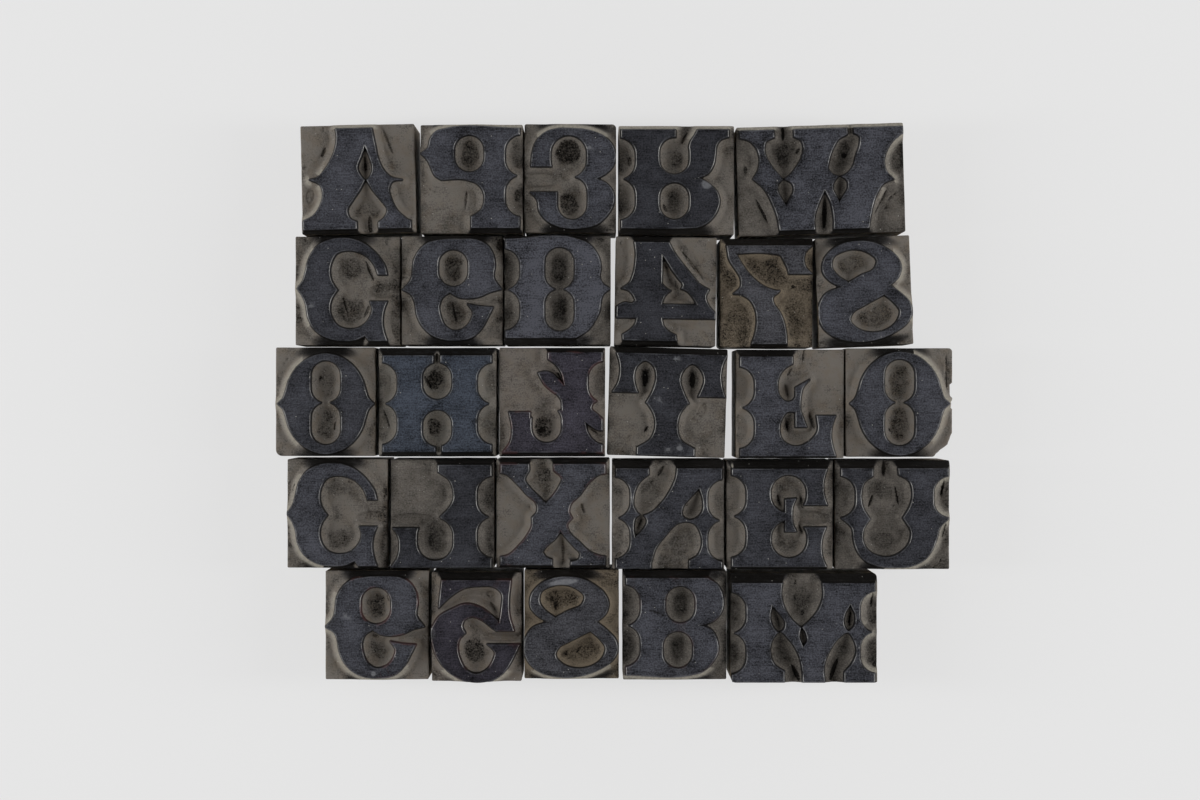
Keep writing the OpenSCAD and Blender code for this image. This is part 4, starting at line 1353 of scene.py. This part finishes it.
        pits=0.3, bowl_shade_and_ink=0.4, open_pits=0.4, open_bowl_shade_and_ink=0.4,
        scores=(
            Scuff((-5.1, 3.2), (1.6, 0.25), 0.8, 70.0), Scuff((1.1, 4.5), (2.4, 0.2), 0.8, -78.0),
            Scuff((-2.0, 10.7), (1.9, 0.4), 1.0, 88.0), Scuff((11.7, 6.3), (1.9, 0.25), 1.0, 80.0),
            Scuff((11.9, -3.4), (1.9, 0.3), 1.0, 80.0),
        ),
        cores=(Scuff((-2.2, 5.6), (2.2, 2.4), 0.6), Scuff((-2.0, -5.9), (2.6, 2.2), 0.6)),
    ),
    "figure_9_2": Wear(
        cuts=CutTone.DUSTY, pits=1.0, bowl_shade_and_ink=0.7, open_pits=0.3, open_bowl_shade_and_ink=0.8, rouge=0.6,
        scuffs=(Scuff((-0.65, -11.1), (0.6, 0.6), 0.7), Scuff((-7.0, 2.2), (1.2, 0.12), 0.4, -38.0)),
        scores=(Scuff((2.8, 6.4), (0.9, 0.3), 0.9, -70.0), Scuff((-0.2, -2.3), (1.0, 0.7), 0.5)),
    ),
    "figure_5": Wear(
        Tint.VIOLET, inking=Inking.HEAVY, cuts=CutTone.DUSTY, pits=0.9, bowl_shade_and_ink=0.8, open_pits=0.4,
        open_bowl_shade_and_ink=0.4, rouge=0.3,
        scores=(Scuff((4.3, 4.4), (1.9, 0.35), 0.8, -50.0), Scuff((3.3, 7.6), (1.2, 0.8), 0.5)),
        cores=(Scuff((-0.5, -5.5), (2.7, 2.8), 1.0),),
        channels=(Scuff((6.2, -2.4), (4.8, 1.2), 1.0),),
    ),
    "figure_8_2": Wear(
        Tint.UMBER, cuts=CutTone.DUSTY, pits=1.0, bowl_shade_and_ink=0.5, grit=0.7,
        scuffs=(Scuff((-1.9, 9.9), (3.6, 0.75), 0.6, 8.0),),
        scores=(
            Scuff((-3.7, 4.2), (1.0, 0.35), 0.9, 80.0), Scuff((-4.0, 7.6), (0.7, 0.7), 0.5),
            Scuff((1.7, -5.9), (1.0, 0.3), 0.8, 55.0), Scuff((-1.8, -7.0), (0.8, 0.6), 0.6),
        ),
    ),
    "letter_b": Wear(
        cuts=CutTone.SOOTY, pits=0.2, bowl_shade_and_ink=1.0, open_bowl_shade_and_ink=0.5, frost=0.3, rouge=0.2,
        scuffs=(Scuff((-4.2, 3.1), (1.9, 0.14), -0.9, -20.0),),
    ),
    "letter_m": Wear(
        cuts=CutTone.SOOTY, pale=0.2, pits=0.3, bowl_shade_and_ink=0.6, open_bowl_shade_and_ink=0.6, frost=0.3,
        corners=(0.9, 0.35, 1.2, 0.35),
        scores=(
            Scuff((-1.8, -10.6), (2.2, 0.5), 0.9, -65.0), Scuff((7.0, -9.7), (2.8, 0.5), 0.9, 70.0),
            Scuff((-0.3, 3.4), (0.7, 0.4), 0.5, 90.0), Scuff((10.7, 2.2), (2.0, 0.2), 0.6, 85.0),
            Scuff((-6.1, 2.2), (1.5, 0.2), 0.3, -70.0), Scuff((15.8, 6.6), (2.0, 0.2), 0.8, 85.0),
            Scuff((16.7, -8.6), (0.8, 0.7), 0.6),
        ),
        cores=(Scuff((-0.3, 6.6), (2.2, 3.2), 0.7),),
    ),
}


@dataclass
class TypeSet:
    """The whole set, row by row."""

    names: list[str]

    def build(self) -> list[bpy.types.Object]:
        """Makes every sort.

        Returns:
            The pieces.
        """
        made = [Sort(name, index, SET_WEAR[name]) for index, name in enumerate(self.names)]
        for sort in made:
            sort.neighbours = made
        return [sort.build() for sort in made]


@dataclass
class Studio:
    """Pale ground, soft side lights and a camera that looks straight down."""

    eye: tuple[float, float, float] = (-3.26, 0.6, 640.0)
    lens: float = 79.75
    sensor: float = 36.0
    near_clip: float = 10.0
    ground: Colour = srgb(231, 231, 231)
    ground_half: float = 3000.0
    ground_drop: float = 0.05
    ground_glow: float = 0.8
    lamp_power: float = 2.5
    lamp_size: tuple[float, float] = (110.0, 600.0)
    lamp_distance: float = 700.0
    lamp_height: float = 34.0
    low_light: float = 0.9
    side_light: float = 1.3
    high_light: float = 0.1
    light_band: tuple[float, float] = (0.66, 0.3)

    def build(self) -> None:
        """Sets up the floor, the lights, the world and the camera."""
        self._floor()
        for side in (-1, 1):
            self._lamp(side)
        self._world()
        camera = bpy.data.objects.new("camera", bpy.data.cameras.new("camera"))
        camera.data.lens = self.lens
        camera.data.sensor_width = self.sensor
        camera.location = Vector(self.eye) * MM
        camera.data.clip_start = self.near_clip * MM
        bpy.context.scene.collection.objects.link(camera)
        bpy.context.scene.camera = camera
        bpy.context.scene.view_settings.view_transform = "Standard"

    def _floor(self) -> None:
        """Lays the pale ground."""
        half = self.ground_half * MM
        mesh = bpy.data.meshes.new("floor")
        corners = [(-half, -half, 0), (half, -half, 0), (half, half, 0), (-half, half, 0)]
        mesh.from_pydata(corners, [], [(0, 1, 2, 3)])
        floor = bpy.data.objects.new("floor", mesh)
        floor.location.z = -self.ground_drop * MM
        bpy.context.scene.collection.objects.link(floor)
        material = bpy.data.materials.new("pale_ground")
        web = NodeWeb(material)
        direct = web.node("ShaderNodeLightPath", out="Is Camera Ray")
        glossy = web.node("ShaderNodeLightPath", out="Is Glossy Ray")
        matte = web.node("ShaderNodeBsdfDiffuse", {}, {0: self.ground})
        glow = web.node("ShaderNodeEmission", {}, {0: self.ground, 1: 1.0})
        seen = (direct + glossy).clamp() * self.ground_glow
        mixed = web.node("ShaderNodeMixShader", {}, {0: seen, 1: matte, 2: glow})
        web.node("ShaderNodeOutputMaterial", {}, {0: mixed})
        mesh.materials.append(material)

    def _lamp(self, side: int) -> None:
        """Hangs one long soft light.

        Args:
            side: -1 for the left and 1 for the right.
        """
        light = bpy.data.lights.new("side_light", "AREA")
        light.shape = "RECTANGLE"
        light.size, light.size_y = (s * MM for s in self.lamp_size)
        light.energy = self.lamp_power
        lamp = bpy.data.objects.new("side_light", light)
        rise = math.radians(self.lamp_height)
        aim = Vector((side * math.cos(rise), 0, math.sin(rise)))
        lamp.location = aim * self.lamp_distance * MM
        lamp.rotation_euler = aim.to_track_quat("Z", "Y").to_euler()
        bpy.context.scene.collection.objects.link(lamp)

    def _world(self) -> None:
        """Lights the room from low all round, most from the sides, and shows it as pale as the ground."""
        world = bpy.data.worlds.new("room")
        bpy.context.scene.world = world
        web = NodeWeb(world)
        way = web.node("ShaderNodeTexCoord", out="Generated")
        across = web.node("ShaderNodeSeparateXYZ", {}, {0: way}, out="X")
        up = web.node("ShaderNodeSeparateXYZ", {}, {0: way}, out="Z")
        band = up.ramp(*self.light_band)
        square = across * across
        glow = self.high_light + band * (self.low_light + square * square * self.side_light)
        seen = web.node("ShaderNodeLightPath", out="Is Camera Ray")
        room = web.node("ShaderNodeBackground", {}, {0: (1.0, 1.0, 1.0), 1: glow})
        view = web.node("ShaderNodeBackground", {}, {0: self.ground, 1: 1.0})
        mixed = web.node("ShaderNodeMixShader", {}, {0: seen, 1: room, 2: view})
        web.node("ShaderNodeOutputWorld", {}, {0: mixed})


def main() -> None:
    """Builds the set and the studio."""
    logging.basicConfig(level=logging.INFO, format="%(message)s")
    TypeSet(sorted(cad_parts)).build()
    Studio().build()


if __name__ == "__main__":
    main()
